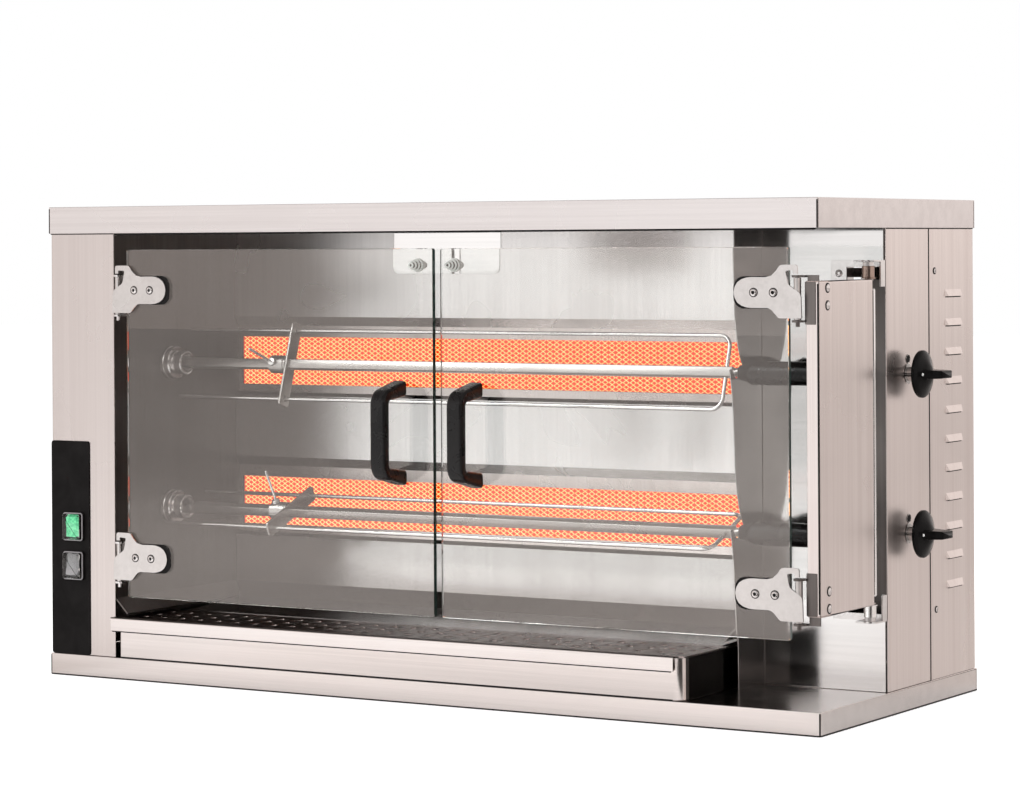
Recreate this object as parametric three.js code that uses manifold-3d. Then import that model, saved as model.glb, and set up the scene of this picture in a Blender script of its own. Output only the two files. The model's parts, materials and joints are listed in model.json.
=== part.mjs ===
// Gas rotisserie oven: a folded stainless cabinet with two spits, two infra-red burners and two glass doors.
// Millimetres. X runs to the right, Y from the front lips to the back, Z up from the surface it stands on.
// Every size below is in the cabinet's own frame: X from the middle of its width, Y from its front lips.
import * as THREE from 'three';
import { mergeVertices } from 'three/addons/utils/BufferGeometryUtils.js';
import Module from 'manifold-3d';

const wasm = await Module();
wasm.setup();

// ---------------------------------------------------------------- driving dimensions
const cabinetWidth = 1100;
const cabinetDepth = 438;
const cabinetHeight = 602.6;
const sheet = 1.5;                 // thickness of the folded sheet
const fitGap = 0.3;                // clearance between pieces that seat on each other
const hoodLipHeight = 34.3;
const baseHeight = 27.5;
const cornerSlit = 1.2;            // open slit between the front and side lips
const floorFlange = 20;            // inward fold that the base stands on

const leftColumnWidth = 104;
const rightBayWidth = 162;         // from the support plate's outer face to the right side
const chamberDepth = 265;
const recessDepth = 182.3;
const knobPanelDepth = 120;
const panelSeam = 1.2;             // dark line between neighbouring side panels
const ceilingFront = 20;
const columnReturn = 15;           // rear fold of the left column
const rearSlotLength = 80;
const rearSlotHeight = 6;
const rearSlotRows = 3;
const rearSlotColumns = 5;

const funnelTop = 103;             // height where the 45 degree drip flanges begin
const funnelRun = 18.5;
const shelfFront = 112;
const shelfFrontHeight = 79.5;

const spitDepth = 118;             // spit axis behind the front lips
const lowerSpitHeight = 213;
const upperSpitDrop = 202.6;       // upper spit axis below the top of the hood
const burnerDrop = 2;              // burner centre below its spit's axis
const burnerWindowHeight = 64;
const burnerWindowInset = 6.5;     // window's ends inside the chamber's side walls
const burnerSetback = 8;           // burner front behind the back panels
const burnerBoxDepth = 58;
const burnerFlangeSheet = 2;
const burnerFlangeTop = 15;
const burnerFlangeBottom = 10;
const panelBevelHeight = 12;
const panelDrop = 4;               // a back panel's upper edge below the burner over it
const plaqueThickness = 10;
const plaqueLedge = 3;             // rim behind the plaque that it seats on
const burnerWall = 2.5;
const mixingTubeWall = 3;
const mixingTubeRadius = 14;
const mixingTubeSetback = 32;      // tube axis behind the burner's front
const mixingTubeReach = 50;        // tube beyond the support plate

const barSize = 12;                // square spit bar
const journalRadius = 5.8;
const notchClearance = 1;
const plateEdge = { foot: 55, shoulder: 22, ramp: 38, neck: 66 };   // heights from a spit's axis
const prongSpread = 45;            // prong's centre from the spit axis
const prongRadius = 2.5;
const prongEndInset = 12.5;        // centre line of the fork's closed end from the support plate
const prongTipLap = 2;             // prongs' tips within the drive hub's face
const prongCorner = 14;
const forkTilts = { upper: 17.2, lower: 67.6 };   // degrees from upright, top towards the back
const spitHandleRadius = 14;
const spitHandleLength = 115;
const spitHandleGap = 5;           // from the support plate to the handle's neck
const clampReach = 163;            // clamp's middle from the drive hub's face
const clampLength = 109;
const clampWidth = 20;
const clampThickness = 3;
const collarLength = 26;
const collarRadius = 11.5;
const screwRadius = 3;
const screwHandleRadius = 1.7;
const screwHandleLength = 40;
const shaftRadius = 5;
const socketDiscRadius = 21.2;
const socketDiscLength = 15;
const socketHubRadius = 15.5;
const socketHubLength = 15;
const motorBoxLength = 26;
const motorBoxSize = [76, 60];
const motorBoxCorner = 8;
const motorCanLength = 46;
const motorCanRadius = 29;

const doorBottom = 106;
const doorTopDrop = 55.3;          // top of the glasses below the top of the hood
const doorFront = -1.1;
const glassThickness = 6;
const leftDoorInset = 22.7;        // left glass edge from the chamber's left wall
const rightDoorInset = 36.3;       // right glass edge from the cabinet's right side
const doorGap = 10;
const hingePinInsets = { left: 14.4, right: 10.6 };   // pin axis outside each glass's hinge edge
const hingePinDepth = 0.8;
const hingePinRadius = 2.5;
const barrelRadius = 4.2;
const hingePlateThickness = 2;
const hingeEar = 2.5;
const hingeEarRadius = 6.5;
const hingeInsets = { upper: 51.3, lower: 50.5 };     // screw lines inside the glasses' top and bottom edges
const hingeScrewPlaces = [28.3, 53.1];   // from the pin axis towards the glass
const hingePlateReach = 79.5;      // the plate's round end from the pin axis
const handleFront = -50;
const handleWidth = 21;
const handleInset = 49;            // handle's middle from the meeting edge of its glass
const handleLength = 126.5;
const handleDrop = 1.4;            // handle's middle below the middle of its glass

const armFront = 4;
const armDepth = 140.5;
const armFlange = 16.7;
const armInsets = { bottom: 27, top: 38.3 };          // arm's ends inside the glasses' edges
const armEndSetback = 25;          // the arm's end plates begin behind its hinge brackets
const armPivotInset = 12;          // pivot axis inside the arm's outer face
const armPivotReach = 12.5;        // pivot axis behind the arm
const armPinRadius = 4;
const armTongueRadius = 7;
const armBracketHeight = 31;
const armBracketWidth = 68.5;
const armBracketStand = 20;        // bracket ear beyond the arm's end
const armBracketPost = 20;         // bracket's left post, which its screw holds
const armBracketBand = 8;
const armBracketLeg = 6;
const armBracketReturn = 12;       // side return of the bracket, clear of the turning arm
const armWindowLap = 2;            // bracket's lap over the window behind the arm
const bracketSheet = 2;

const trayInsets = { left: 8.4, right: 9.8 };         // tray's sides inside the chamber's
const trayDepth = 245;
const trayWallTop = 77.2;
const trayCorner = 14;
const trayLipDrop = 17;
const trayLipReach = 4;
const trayLipOverhang = 12.4;
const gridFront = 3;
const gridDepth = 108.4;
const gridHoleRadius = 4;
const gridHolePitch = 28.5;
const gridSplit = 497.6;           // joint of the two drip grids from the tray's left side
const gridRim = 8;

const latchWidth = 152.3;
const latchStart = 77.5;           // latch plate's left edge before the middle of the doors' gap
const latchOverlap = 30.9;         // latch plate's lower edge below the top of the glasses
const latchDepth = 25;
const latchCorner = 9;
const bumperDrop = 20.3;           // bumpers below the top of the glasses
const bumperRadius = 8;
const bumperOffsets = { left: -41.6, right: 10.8 };   // from the middle of the doors' gap

const knobReach = 49;              // knob's end beyond the cabinet's side
const knobDepth = 242;
const knobDrops = { upper: 3.5, lower: 4.5 };         // knob axis below its spit's axis
const knobSkirtRadius = 28;
const knobSkirtStart = 15;         // skirt's back from the cabinet's side
const knobNeckRadius = 8;
const knobStemRadius = 4;
const manifoldRadius = 9;
const inletRadius = 10;
const valveRadius = 14;
const manifoldInset = 40;          // manifold's axis inside the cabinet's side
const knobStemInset = 42;
const feedReach = 36;              // bend of a valve's feed pipe from the manifold's axis
const inletDrop = 60;              // gas inlet below the lower knob's axis
const louvreCount = 11;
const louvreMargins = { bottom: 106.6, top: 114.8 };  // first and last louvre inside the panel's edges
const louvreLength = 49.4;
const louvreHeight = 10;
const louvreBulge = 3.5;
const louvreSetback = 38;          // louvres' rear ends before the cabinet's back

const controlPanelWidth = 62;
const controlPanelTop = 302;
const controlPanelSheet = 1.2;
const switchPlace = 39;            // switch centre from the cabinet's left side
const switchHeights = { upper: 192, lower: 142 };
const switchBezel = [32, 36];
const switchBody = [22, 30];
const rockerTilt = 8;              // degrees from level at rest
const rockerDepth = 0.5;           // rocker's pivot behind the front lips

// ---------------------------------------------------------------- places worked out from them
const left = -cabinetWidth / 2;
const right = cabinetWidth / 2;
const lipClear = sheet + fitGap;
const panelLow = baseHeight + fitGap;
const panelHigh = cabinetHeight - sheet - fitGap;
const wallLeft = left + leftColumnWidth;
const plateOuter = right - rightBayWidth;
const plateFace = plateOuter - sheet;
const backX = [wallLeft + fitGap, plateFace - fitGap];
const rearCoverFront = cabinetDepth - lipClear - sheet;
const upperSpitHeight = cabinetHeight - upperSpitDrop;
const spitHeights = { upper: upperSpitHeight, lower: lowerSpitHeight };
const burnerHeights = { upper: upperSpitHeight - burnerDrop, lower: lowerSpitHeight - burnerDrop };
const burnerFront = chamberDepth + burnerSetback;
const mixingTubeDepth = burnerFront + mixingTubeSetback;
const burnerEdgeTop = burnerWindowHeight / 2 + burnerFlangeTop;
const burnerEdgeBottom = burnerWindowHeight / 2 + burnerFlangeBottom;
const rightPanelOuter = right - lipClear;
const knobPanelFront = recessDepth + panelSeam;
const knobPanelBack = knobPanelFront + knobPanelDepth;
const doorWidth = (right - rightDoorInset - wallLeft - leftDoorInset - doorGap) / 2;
const leftDoor = [wallLeft + leftDoorInset, wallLeft + leftDoorInset + doorWidth];
const rightDoor = [leftDoor[1] + doorGap, leftDoor[1] + doorGap + doorWidth];
const doorBack = doorFront + glassThickness;
const doorTop = cabinetHeight - doorTopDrop;
const doorMiddle = (doorBottom + doorTop) / 2;
const hingeScrewLines = { upper: doorTop - hingeInsets.upper, lower: doorBottom + hingeInsets.lower };
const handleBottom = doorMiddle - handleDrop - handleLength / 2;
const handleTop = handleBottom + handleLength;
const latchLeft = leftDoor[1] + doorGap / 2 - latchStart;
const latchBottom = doorTop - latchOverlap;
const bumperHeight = doorTop - bumperDrop;
const bumperPlaces = {
  left: leftDoor[1] + doorGap / 2 + bumperOffsets.left,
  right: leftDoor[1] + doorGap / 2 + bumperOffsets.right,
};
const leftPin = leftDoor[0] - hingePinInsets.left;
const rightPin = rightDoor[1] + hingePinInsets.right;
const armOuter = right;
const armBack = armFront + armDepth;
const armBottom = doorBottom + armInsets.bottom;
const armTop = doorTop - armInsets.top;
const armPivot = [armOuter - armPivotInset, armBack + armPivotReach];
const handlePlaces = { left: leftDoor[1] - handleInset, right: rightDoor[0] + handleInset };
const trayX = [wallLeft + trayInsets.left, plateFace - trayInsets.right];
const gridJoint = trayX[0] + gridSplit;
const trayFloor = baseHeight + fitGap;
const socketStart = wallLeft + 1;
const hubFace = socketStart + socketDiscLength + socketHubLength;
const prongEnd = plateFace - prongEndInset;
const prongTip = hubFace - prongTipLap;
const clampPlace = hubFace + clampReach;
const ceilingHeight = cabinetHeight - hoodLipHeight + fitGap;
const knobEnd = right + knobReach;
const knobHeights = {
  upper: upperSpitHeight - knobDrops.upper,
  lower: lowerSpitHeight - knobDrops.lower,
};
const louvreFront = cabinetDepth - louvreSetback - louvreLength;
const louvreLowest = panelLow + louvreMargins.bottom;
const louvrePitch = (panelHigh - louvreMargins.top - louvreLowest) / (louvreCount - 1);

// ---------------------------------------------------------------- materials
const colours = {
  brushed: [0xc9bfbb, 0.38, 0.9],
  polished: [0xb9b3b1, 0.16, 1.0],
  bright: [0xd8d4d2, 0.22, 1.0],
  black: [0x111111, 0.3, 0.0],
  panelBlack: [0x1b1a1a, 0.5, 0.0],
  glass: [0xb8c4c0, 0.05, 0.0],
  ceramic: [0xf06030, 0.8, 0.0],
  rubber: [0x8d8a88, 0.6, 0.0],
  brass: [0xb08d4a, 0.35, 1.0],
  motor: [0x4a4c50, 0.5, 0.6],
  green: [0x1f9a4a, 0.3, 0.0],
};

function material(name) {
  const [color, roughness, metalness] = colours[name];
  return new THREE.MeshStandardMaterial({ color, roughness, metalness });
}

// ---------------------------------------------------------------- modelling helpers
function solidOf(geometry) {
  const bare = geometry.clone();
  bare.deleteAttribute('normal');
  bare.deleteAttribute('uv');
  const merged = mergeVertices(bare, 1e-4);
  const vertProperties = Float32Array.from(merged.attributes.position.array);
  const triVerts = Uint32Array.from(merged.index.array);
  return new wasm.Manifold(new wasm.Mesh({ numProp: 3, vertProperties, triVerts }));
}

function geometryOf(solid) {
  const mesh = solid.getMesh();
  const geometry = new THREE.BufferGeometry();
  geometry.setAttribute('position', new THREE.BufferAttribute(Float32Array.from(mesh.vertProperties), 3));
  geometry.setIndex(new THREE.BufferAttribute(Uint32Array.from(mesh.triVerts), 1));
  return geometry;
}

function join(...pieces) {
  return geometryOf(pieces.map(solidOf).reduce((whole, piece) => whole.add(piece)));
}

function cut(body, ...tools) {
  return geometryOf(tools.map(solidOf).reduce((whole, tool) => whole.subtract(tool), solidOf(body)));
}

function common(...pieces) {
  return geometryOf(pieces.map(solidOf).reduce((whole, piece) => whole.intersect(piece)));
}

// A box from its lowest to its highest corner, given one [low, high] pair per axis.
function block(x, y, z) {
  const geometry = new THREE.BoxGeometry(x[1] - x[0], y[1] - y[0], z[1] - z[0]);
  return geometry.translate((x[0] + x[1]) / 2, (y[0] + y[1]) / 2, (z[0] + z[1]) / 2);
}

// An outline carried along one axis.
// The outline's own axes are (Y, Z) along X, (X, Z) along Y and (X, Y) along Z.
function extrude(axis, shape, [low, high], options = {}) {
  const settings = { depth: high - low, bevelEnabled: false, curveSegments: 4, ...options };
  const geometry = new THREE.ExtrudeGeometry(shape, settings);
  const turn = {
    X: new THREE.Matrix4().set(0, 0, 1, low, 1, 0, 0, 0, 0, 1, 0, 0, 0, 0, 0, 1),
    Y: new THREE.Matrix4().set(1, 0, 0, 0, 0, 0, -1, high, 0, 1, 0, 0, 0, 0, 0, 1),
    Z: new THREE.Matrix4().makeTranslation(0, 0, low),
  };
  return geometry.applyMatrix4(turn[axis]);
}

// A profile of [radius, distance along the axis] pairs, turned about a line along X or Z.
function turned(axis, profile, sides = 24) {
  const points = profile.map(([radius, along]) => new THREE.Vector2(radius, along));
  const geometry = new THREE.LatheGeometry(points, sides);
  return axis === 'X' ? geometry.rotateZ(-Math.PI / 2) : geometry.rotateX(Math.PI / 2);
}

function rod(axis, radius, [low, high], sides = 12) {
  const geometry = new THREE.CylinderGeometry(radius, radius, high - low, sides);
  geometry.translate(0, (low + high) / 2, 0);
  if (axis === 'X') geometry.rotateZ(-Math.PI / 2);
  if (axis === 'Z') geometry.rotateX(Math.PI / 2);
  return geometry;
}

function outline(points) {
  return new THREE.Shape(points.map(([u, v]) => new THREE.Vector2(u, v)));
}

// A closed outline whose corners are [u, v, fillet radius].
function roundedOutline(corners) {
  const shape = new THREE.Shape();
  const count = corners.length;
  corners.forEach(([u, v, radius = 0], index) => {
    const corner = new THREE.Vector2(u, v);
    const before = new THREE.Vector2(...corners[(index + count - 1) % count]).sub(corner).setLength(radius);
    const after = new THREE.Vector2(...corners[(index + 1) % count]).sub(corner).setLength(radius);
    const start = corner.clone().add(before);
    if (index === 0) shape.moveTo(start.x, start.y);
    else shape.lineTo(start.x, start.y);
    if (radius > 0) shape.quadraticCurveTo(u, v, u + after.x, v + after.y);
  });
  shape.closePath();
  return shape;
}

function rectangle(u, v, radius = 0) {
  const corners = [[u[0], v[0]], [u[1], v[0]], [u[1], v[1]], [u[0], v[1]]];
  return roundedOutline(corners.map((corner) => [...corner, radius]));
}

function hole(u, v, radius, sides) {
  const turns = Array.from({ length: sides }, (_, index) => (2 * Math.PI * (index + 0.5)) / sides);
  return new THREE.Path(turns.map((turn) =>
    new THREE.Vector2(u + radius * Math.cos(turn), v + radius * Math.sin(turn))));
}

// Section of a bent sheet: the line of one face, and the other face a mitred offset to its left.
function folded(line, thickness = sheet) {
  const face = line.map(([u, v]) => new THREE.Vector2(u, v));
  const normals = face.slice(1).map((point, index) => {
    const along = point.clone().sub(face[index]).normalize();
    return new THREE.Vector2(-along.y, along.x);
  });
  const offset = face.map((point, index) => {
    const before = normals[Math.max(index - 1, 0)];
    const after = normals[Math.min(index, normals.length - 1)];
    const mitre = before.clone().add(after).normalize();
    return point.clone().addScaledVector(mitre, thickness / mitre.dot(after));
  });
  return new THREE.Shape([...face, ...offset.reverse()]);
}

// A path through listed points, with one ring of the wire at each of them.
class WirePath extends THREE.Curve {
  constructor(points) {
    super();
    this.points = points;
  }

  getPointAt(along) {
    return this.points[Math.round(along * (this.points.length - 1))].clone();
  }

  getTangentAt(along) {
    const index = Math.round(along * (this.points.length - 1));
    const next = this.points[Math.min(index + 1, this.points.length - 1)];
    const previous = this.points[Math.max(index - 1, 0)];
    return next.clone().sub(previous).normalize();
  }
}

// Corner points of a bent wire or pipe, each bend eased over the given radius.
function bentLine(corners, radius, steps = 5) {
  const points = corners.map((corner) => new THREE.Vector3(...corner));
  const line = [points[0]];
  for (let index = 1; index < points.length - 1; index += 1) {
    const before = points[index - 1].clone().sub(points[index]).setLength(radius).add(points[index]);
    const after = points[index + 1].clone().sub(points[index]).setLength(radius).add(points[index]);
    const bend = new THREE.QuadraticBezierCurve3(before, points[index], after);
    line.push(...bend.getPoints(steps));
  }
  return [...line, points[points.length - 1]];
}

function wire(points, radius, sides = 8) {
  const section = new THREE.Shape(hole(0, 0, radius, sides).getPoints());
  const settings = { steps: points.length - 1, extrudePath: new WirePath(points), bevelEnabled: false };
  return new THREE.ExtrudeGeometry(section, settings);
}

function piece(parent, name, look, geometry) {
  const mesh = new THREE.Mesh(geometry, material(look));
  mesh.name = name;
  parent.add(mesh);
}

// ---------------------------------------------------------------- casing
// A folded tray: a plate with a lip on each side, open slits at its front corners.
function foldedTray(plate, lip) {
  const sideLipFront = sheet + cornerSlit;
  const sideLip = [sideLipFront, cabinetDepth - sideLipFront];
  return [
    block([left, right], [0, cabinetDepth], plate),
    block([left, right], [0, sheet], lip),
    block([left, right], [cabinetDepth - sheet, cabinetDepth], lip),
    block([left, left + sheet], sideLip, lip),
    block([right - sheet, right], sideLip, lip),
  ];
}

function baseTray() {
  const flange = [0, sheet];
  const inset = floorFlange + cornerSlit;
  const alongX = [left + inset, right - inset];
  const alongY = [inset, cabinetDepth - inset];
  return join(
    ...foldedTray([baseHeight - sheet, baseHeight], [0, baseHeight]),
    block(alongX, [0, floorFlange], flange),
    block(alongX, [cabinetDepth - floorFlange, cabinetDepth], flange),
    block([left, left + floorFlange], alongY, flange),
    block([right - floorFlange, right], alongY, flange),
  );
}

function hood() {
  const lip = [cabinetHeight - hoodLipHeight, cabinetHeight];
  return join(...foldedTray([cabinetHeight - sheet, cabinetHeight], lip));
}

function leftHousing() {
  const side = left + lipClear;
  const back = rearCoverFront - fitGap;
  const line = [[wallLeft, lipClear], [side, lipClear], [side, back], [side + columnReturn, back]];
  const shell = extrude('Z', folded(line, -sheet), [panelLow, panelHigh]);
  return cut(shell, ...switchCutouts([lipClear - 1, lipClear + sheet + 1]));
}

function switchCutouts(y) {
  const centre = left + switchPlace;
  const halfWidth = switchBody[0] / 2 + fitGap;
  const halfHeight = switchBody[1] / 2 + fitGap;
  return Object.values(switchHeights).map((height) =>
    block([centre - halfWidth, centre + halfWidth], y, [height - halfHeight, height + halfHeight]));
}

function controlPanel() {
  const back = lipClear - fitGap;
  const start = left + lipClear;
  const face = rectangle([start, start + controlPanelWidth], [panelLow, controlPanelTop], 4);
  const plate = extrude('Y', face, [back - controlPanelSheet, back]);
  return cut(plate, ...switchCutouts([-1, lipClear]));
}

function chamberLeftWall() {
  const face = [[wallLeft, panelHigh], [wallLeft, funnelTop], [wallLeft + funnelRun, funnelTop - funnelRun]];
  const front = lipClear + sheet + fitGap;
  const wall = extrude('Y', folded(face, -sheet), [front, rearCoverFront - fitGap]);
  const mitre = [
    [wallLeft, cabinetDepth],
    [wallLeft, chamberDepth - fitGap],
    [wallLeft + 2 * funnelRun, chamberDepth - fitGap - 2 * funnelRun],
    [wallLeft + 2 * funnelRun, cabinetDepth],
  ];
  const shaftHoles = Object.values(spitHeights).map((height) =>
    rod('X', shaftRadius + 3, [wallLeft - 2 * sheet, wallLeft + 1]).translate(0, spitDepth, height));
  return cut(wall, extrude('Z', outline(mitre), [0, funnelTop + sheet]), ...shaftHoles);
}

// A back panel between burners: flat at the chamber's back, bevelled back to the burner below it.
function backPanel(top, bottom) {
  const bevelFoot = [burnerFront - fitGap, bottom - panelBevelHeight];
  const line = [[chamberDepth, top], [chamberDepth, bottom], bevelFoot];
  return extrude('X', folded(line), backX);
}

function lowerBackPanel() {
  const top = burnerHeights.lower - burnerEdgeBottom - fitGap - panelDrop;
  const slopeFoot = [chamberDepth - funnelRun, funnelTop - funnelRun];
  const line = [[chamberDepth, top], [chamberDepth, funnelTop], slopeFoot, [shelfFront, shelfFrontHeight]];
  const panel = extrude('X', folded(line), backX);
  const sideCut = (side, wall) => outline([
    [wall - side * 2, chamberDepth],
    [wall + side * fitGap, chamberDepth],
    [wall + side * (funnelRun + fitGap), chamberDepth - funnelRun],
    [wall + side * (funnelRun + fitGap), 0],
    [wall - side * 2, 0],
  ]);
  const depth = [0, funnelTop + 5];
  return cut(panel, extrude('Z', sideCut(1, wallLeft), depth), extrude('Z', sideCut(-1, plateFace), depth));
}

function chamberCeiling() {
  const back = chamberDepth - fitGap;
  const line = [[ceilingFront, panelHigh - 5], [ceilingFront, ceilingHeight], [back, ceilingHeight]];
  return extrude('X', folded(line), backX);
}

// The wall between chamber and valve bay. Its front edge rises in two open notches that cradle the spits.
function spitSupportPlate() {
  const notch = journalRadius + notchClearance;
  const back = rearCoverFront - fitGap;
  const shape = new THREE.Shape();
  shape.moveTo(back, panelLow);
  shape.lineTo(spitDepth - 2, panelLow);
  shape.lineTo(spitDepth - 3, funnelTop - 13);
  for (const height of [lowerSpitHeight, upperSpitHeight]) {
    shape.lineTo(spitDepth - 8, height - plateEdge.foot);
    shape.quadraticCurveTo(spitDepth - 11, height - 20, spitDepth - 17, height + 3);
    shape.quadraticCurveTo(spitDepth - 13, height + 7, spitDepth - 9, height + 1);
    shape.lineTo(spitDepth - notch, height);
    shape.absarc(spitDepth, height, notch, Math.PI, 2 * Math.PI);
    shape.lineTo(spitDepth + 16, height + 7);
    shape.quadraticCurveTo(
      spitDepth + 6, height + plateEdge.shoulder, spitDepth + 2, height + plateEdge.ramp,
    );
    shape.lineTo(spitDepth - 4, height + plateEdge.neck);
  }
  shape.lineTo(spitDepth - 10, panelHigh);
  shape.lineTo(back, panelHigh);
  shape.closePath();
  const plate = extrude('X', shape, [plateFace, plateOuter]);
  const flangeLine = [[plateFace, funnelTop + 10], [plateFace, funnelTop],
    [plateFace - funnelRun, funnelTop - funnelRun]];
  const flange = extrude('Y', folded(flangeLine), [spitDepth, chamberDepth]);
  const mitre = outline([
    [plateFace, cabinetDepth],
    [plateFace, chamberDepth - fitGap],
    [plateFace - 2 * funnelRun, chamberDepth - fitGap - 2 * funnelRun],
    [plateFace - 2 * funnelRun, cabinetDepth],
  ]);
  const tubeHoles = Object.values(burnerHeights).map((height) =>
    rod('X', mixingTubeRadius + 2, [plateFace - 1, plateOuter + 1]).translate(0, mixingTubeDepth, height));
  return cut(join(plate, flange), extrude('Z', mitre, [0, funnelTop + 20]), ...tubeHoles);
}

function rearCover() {
  const y = [rearCoverFront, rearCoverFront + sheet];
  const through = [y[0] - 1, y[1] + 1];
  const slots = [];
  for (let row = 0; row < rearSlotRows; row += 1) {
    for (let column = 0; column < rearSlotColumns; column += 1) {
      const middle = (column - (rearSlotColumns - 1) / 2) * (cabinetWidth / (rearSlotColumns + 1));
      const height = panelHigh - 60 - row * 3 * rearSlotHeight;
      slots.push(block([middle - rearSlotLength / 2, middle + rearSlotLength / 2], through,
        [height - rearSlotHeight / 2, height + rearSlotHeight / 2]));
    }
  }
  const inlet = rod('Y', inletRadius + 2, through, 16).translate(manifoldPlace()[0], 0, inletHeight());
  return cut(block([left + lipClear, right - lipClear], y, [panelLow, panelHigh]), ...slots, inlet);
}

// ---------------------------------------------------------------- valve bay on the right
// The recessed panel, cut away behind the swing arm from its lower to its upper pivot bracket.
function recessPanel() {
  const x = [plateOuter + fitGap, rightPanelOuter - sheet - panelSeam];
  const y = [recessDepth, recessDepth + sheet];
  const reach = armBracketStand + bracketSheet - armBracketBand + armWindowLap;
  const start = armOuter - bracketSheet - armBracketWidth + armBracketPost - armWindowLap;
  const window = block([start, right], [y[0] - 1, y[1] + 1], [armBottom - reach, armTop + reach]);
  return cut(block(x, y, [panelLow, panelHigh]), window);
}

function knobPanel() {
  const face = rectangle([knobPanelFront, knobPanelBack], [panelLow, panelHigh]);
  for (const height of Object.values(knobHeights)) {
    face.holes.push(hole(knobDepth, height, knobNeckRadius + fitGap * 2, 12));
  }
  return extrude('X', face, [rightPanelOuter - sheet, rightPanelOuter]);
}

// One louvre: a wedge pressed outwards with slanted ends, open along its lower edge.
function louvreWedge(height, skin) {
  const foot = rightPanelOuter - sheet / 2;
  const lip = rightPanelOuter + louvreBulge - skin;
  const span = [louvreFront + skin, louvreFront + louvreLength - skin];
  const section = outline([[foot, height], [lip, height], [foot, height + louvreHeight - skin]]);
  const wedge = extrude('Y', section, span);
  const middle = louvreFront + louvreLength / 2;
  const points = wedge.attributes.position;
  for (let index = 0; index < points.count; index += 1) {
    const draw = points.getX(index) > foot + 0.1 ? 0.8 : 1;
    points.setY(index, middle + (points.getY(index) - middle) * draw);
  }
  return wedge;
}

function sideCover() {
  const y = [knobPanelBack + panelSeam, rearCoverFront - fitGap];
  const panel = extrude('X', rectangle(y, [panelLow, panelHigh]), [rightPanelOuter - sheet, rightPanelOuter]);
  const heights = Array.from({ length: louvreCount }, (_, index) => louvreLowest + index * louvrePitch);
  const hoods = heights.map((height) => louvreWedge(height, 0));
  const hollows = heights.map((height) => louvreWedge(height, 1).translate(0, 0, -0.01));
  const mouths = heights.map((height) => block(
    [rightPanelOuter - 2 * sheet, rightPanelOuter + louvreBulge - 1],
    [louvreFront + 6, louvreFront + louvreLength - 6],
    [height - 0.02, height + 2],
  ));
  const inside = block([rightPanelOuter - 30, rightPanelOuter - sheet], y, [panelLow, panelHigh]);
  return cut(join(panel, ...hoods), inside, ...hollows, ...mouths);
}

// The manifold is an upright pipe between the valves with a rear inlet.
// manifoldPlace gives its axis in X and Y.
function manifoldPlace() {
  return [right - manifoldInset, knobDepth + valveRadius + 10 + manifoldRadius];
}

function inletHeight() {
  return knobHeights.lower - inletDrop;
}

function gasManifold() {
  const [x, y] = manifoldPlace();
  const pipe = rod('Z', manifoldRadius, [inletHeight() - 15, knobHeights.upper + 25]).translate(x, y, 0);
  const inlet = rod('Y', inletRadius, [y, cabinetDepth - lipClear]).translate(x, 0, inletHeight());
  const plug = rod('Z', manifoldRadius + 2, [knobHeights.upper + 15, knobHeights.upper + 28], 6);
  return join(pipe, inlet, plug.translate(x, y, 0));
}

function gasValve(level) {
  const height = knobHeights[level];
  const [x, y] = manifoldPlace();
  const place = (geometry) => geometry.translate(0, knobDepth, height);
  const body = place(rod('X', valveRadius, [x - 18, rightPanelOuter - sheet - fitGap], 12));
  const neck = place(rod('X', knobNeckRadius, [rightPanelOuter - 10, right + knobSkirtStart - fitGap], 12));
  const bore = place(rod('X', knobStemRadius + 2 * fitGap, [x - 6, right + knobSkirtStart + 1], 10));
  const saddle = rod('Y', 8, [knobDepth, y - manifoldRadius - fitGap], 12).translate(x, 0, height);
  const mouth = plateOuter + mixingTubeReach + fitGap + 4;
  const feed = bentLine([
    [x - 10, knobDepth, height],
    [x - feedReach, knobDepth, height],
    [mouth + 22, mixingTubeDepth, burnerHeights[level]],
    [mouth + 2, mixingTubeDepth, burnerHeights[level]],
  ], 12, 2);
  const injector = rod('X', 8, [mouth, mouth + 14], 6).translate(0, mixingTubeDepth, burnerHeights[level]);
  return cut(join(body, neck, saddle, wire(feed, 4, 6), injector), bore);
}

function knob(level) {
  const skirt = right + knobSkirtStart;
  const profile = [
    [0, skirt], [knobSkirtRadius, skirt], [knobSkirtRadius, skirt + 6], [knobSkirtRadius - 2, skirt + 8.5],
    [knobSkirtRadius - 8, skirt + 10], [14, skirt + 12], [0, skirt + 13],
  ];
  const grip = extrude('X', rectangle([-15, 15], [-6.4, 6.4], 2), [skirt + 6, knobEnd], { steps: 3 });
  taper(grip, [skirt + 6, knobEnd], 0.72);
  const stem = rod('X', knobStemRadius, [right - knobStemInset, skirt + 2], 10);
  return join(turned('X', profile, 20), grip, stem).translate(0, knobDepth, knobHeights[level]);
}

// Narrows a piece evenly in Y and Z from full size at one X to the given share at the other.
function taper(geometry, [start, end], share) {
  const points = geometry.attributes.position;
  for (let index = 0; index < points.count; index += 1) {
    const scale = 1 - ((1 - share) * (points.getX(index) - start)) / (end - start);
    points.setY(index, points.getY(index) * scale);
    points.setZ(index, points.getZ(index) * scale);
  }
}

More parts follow.
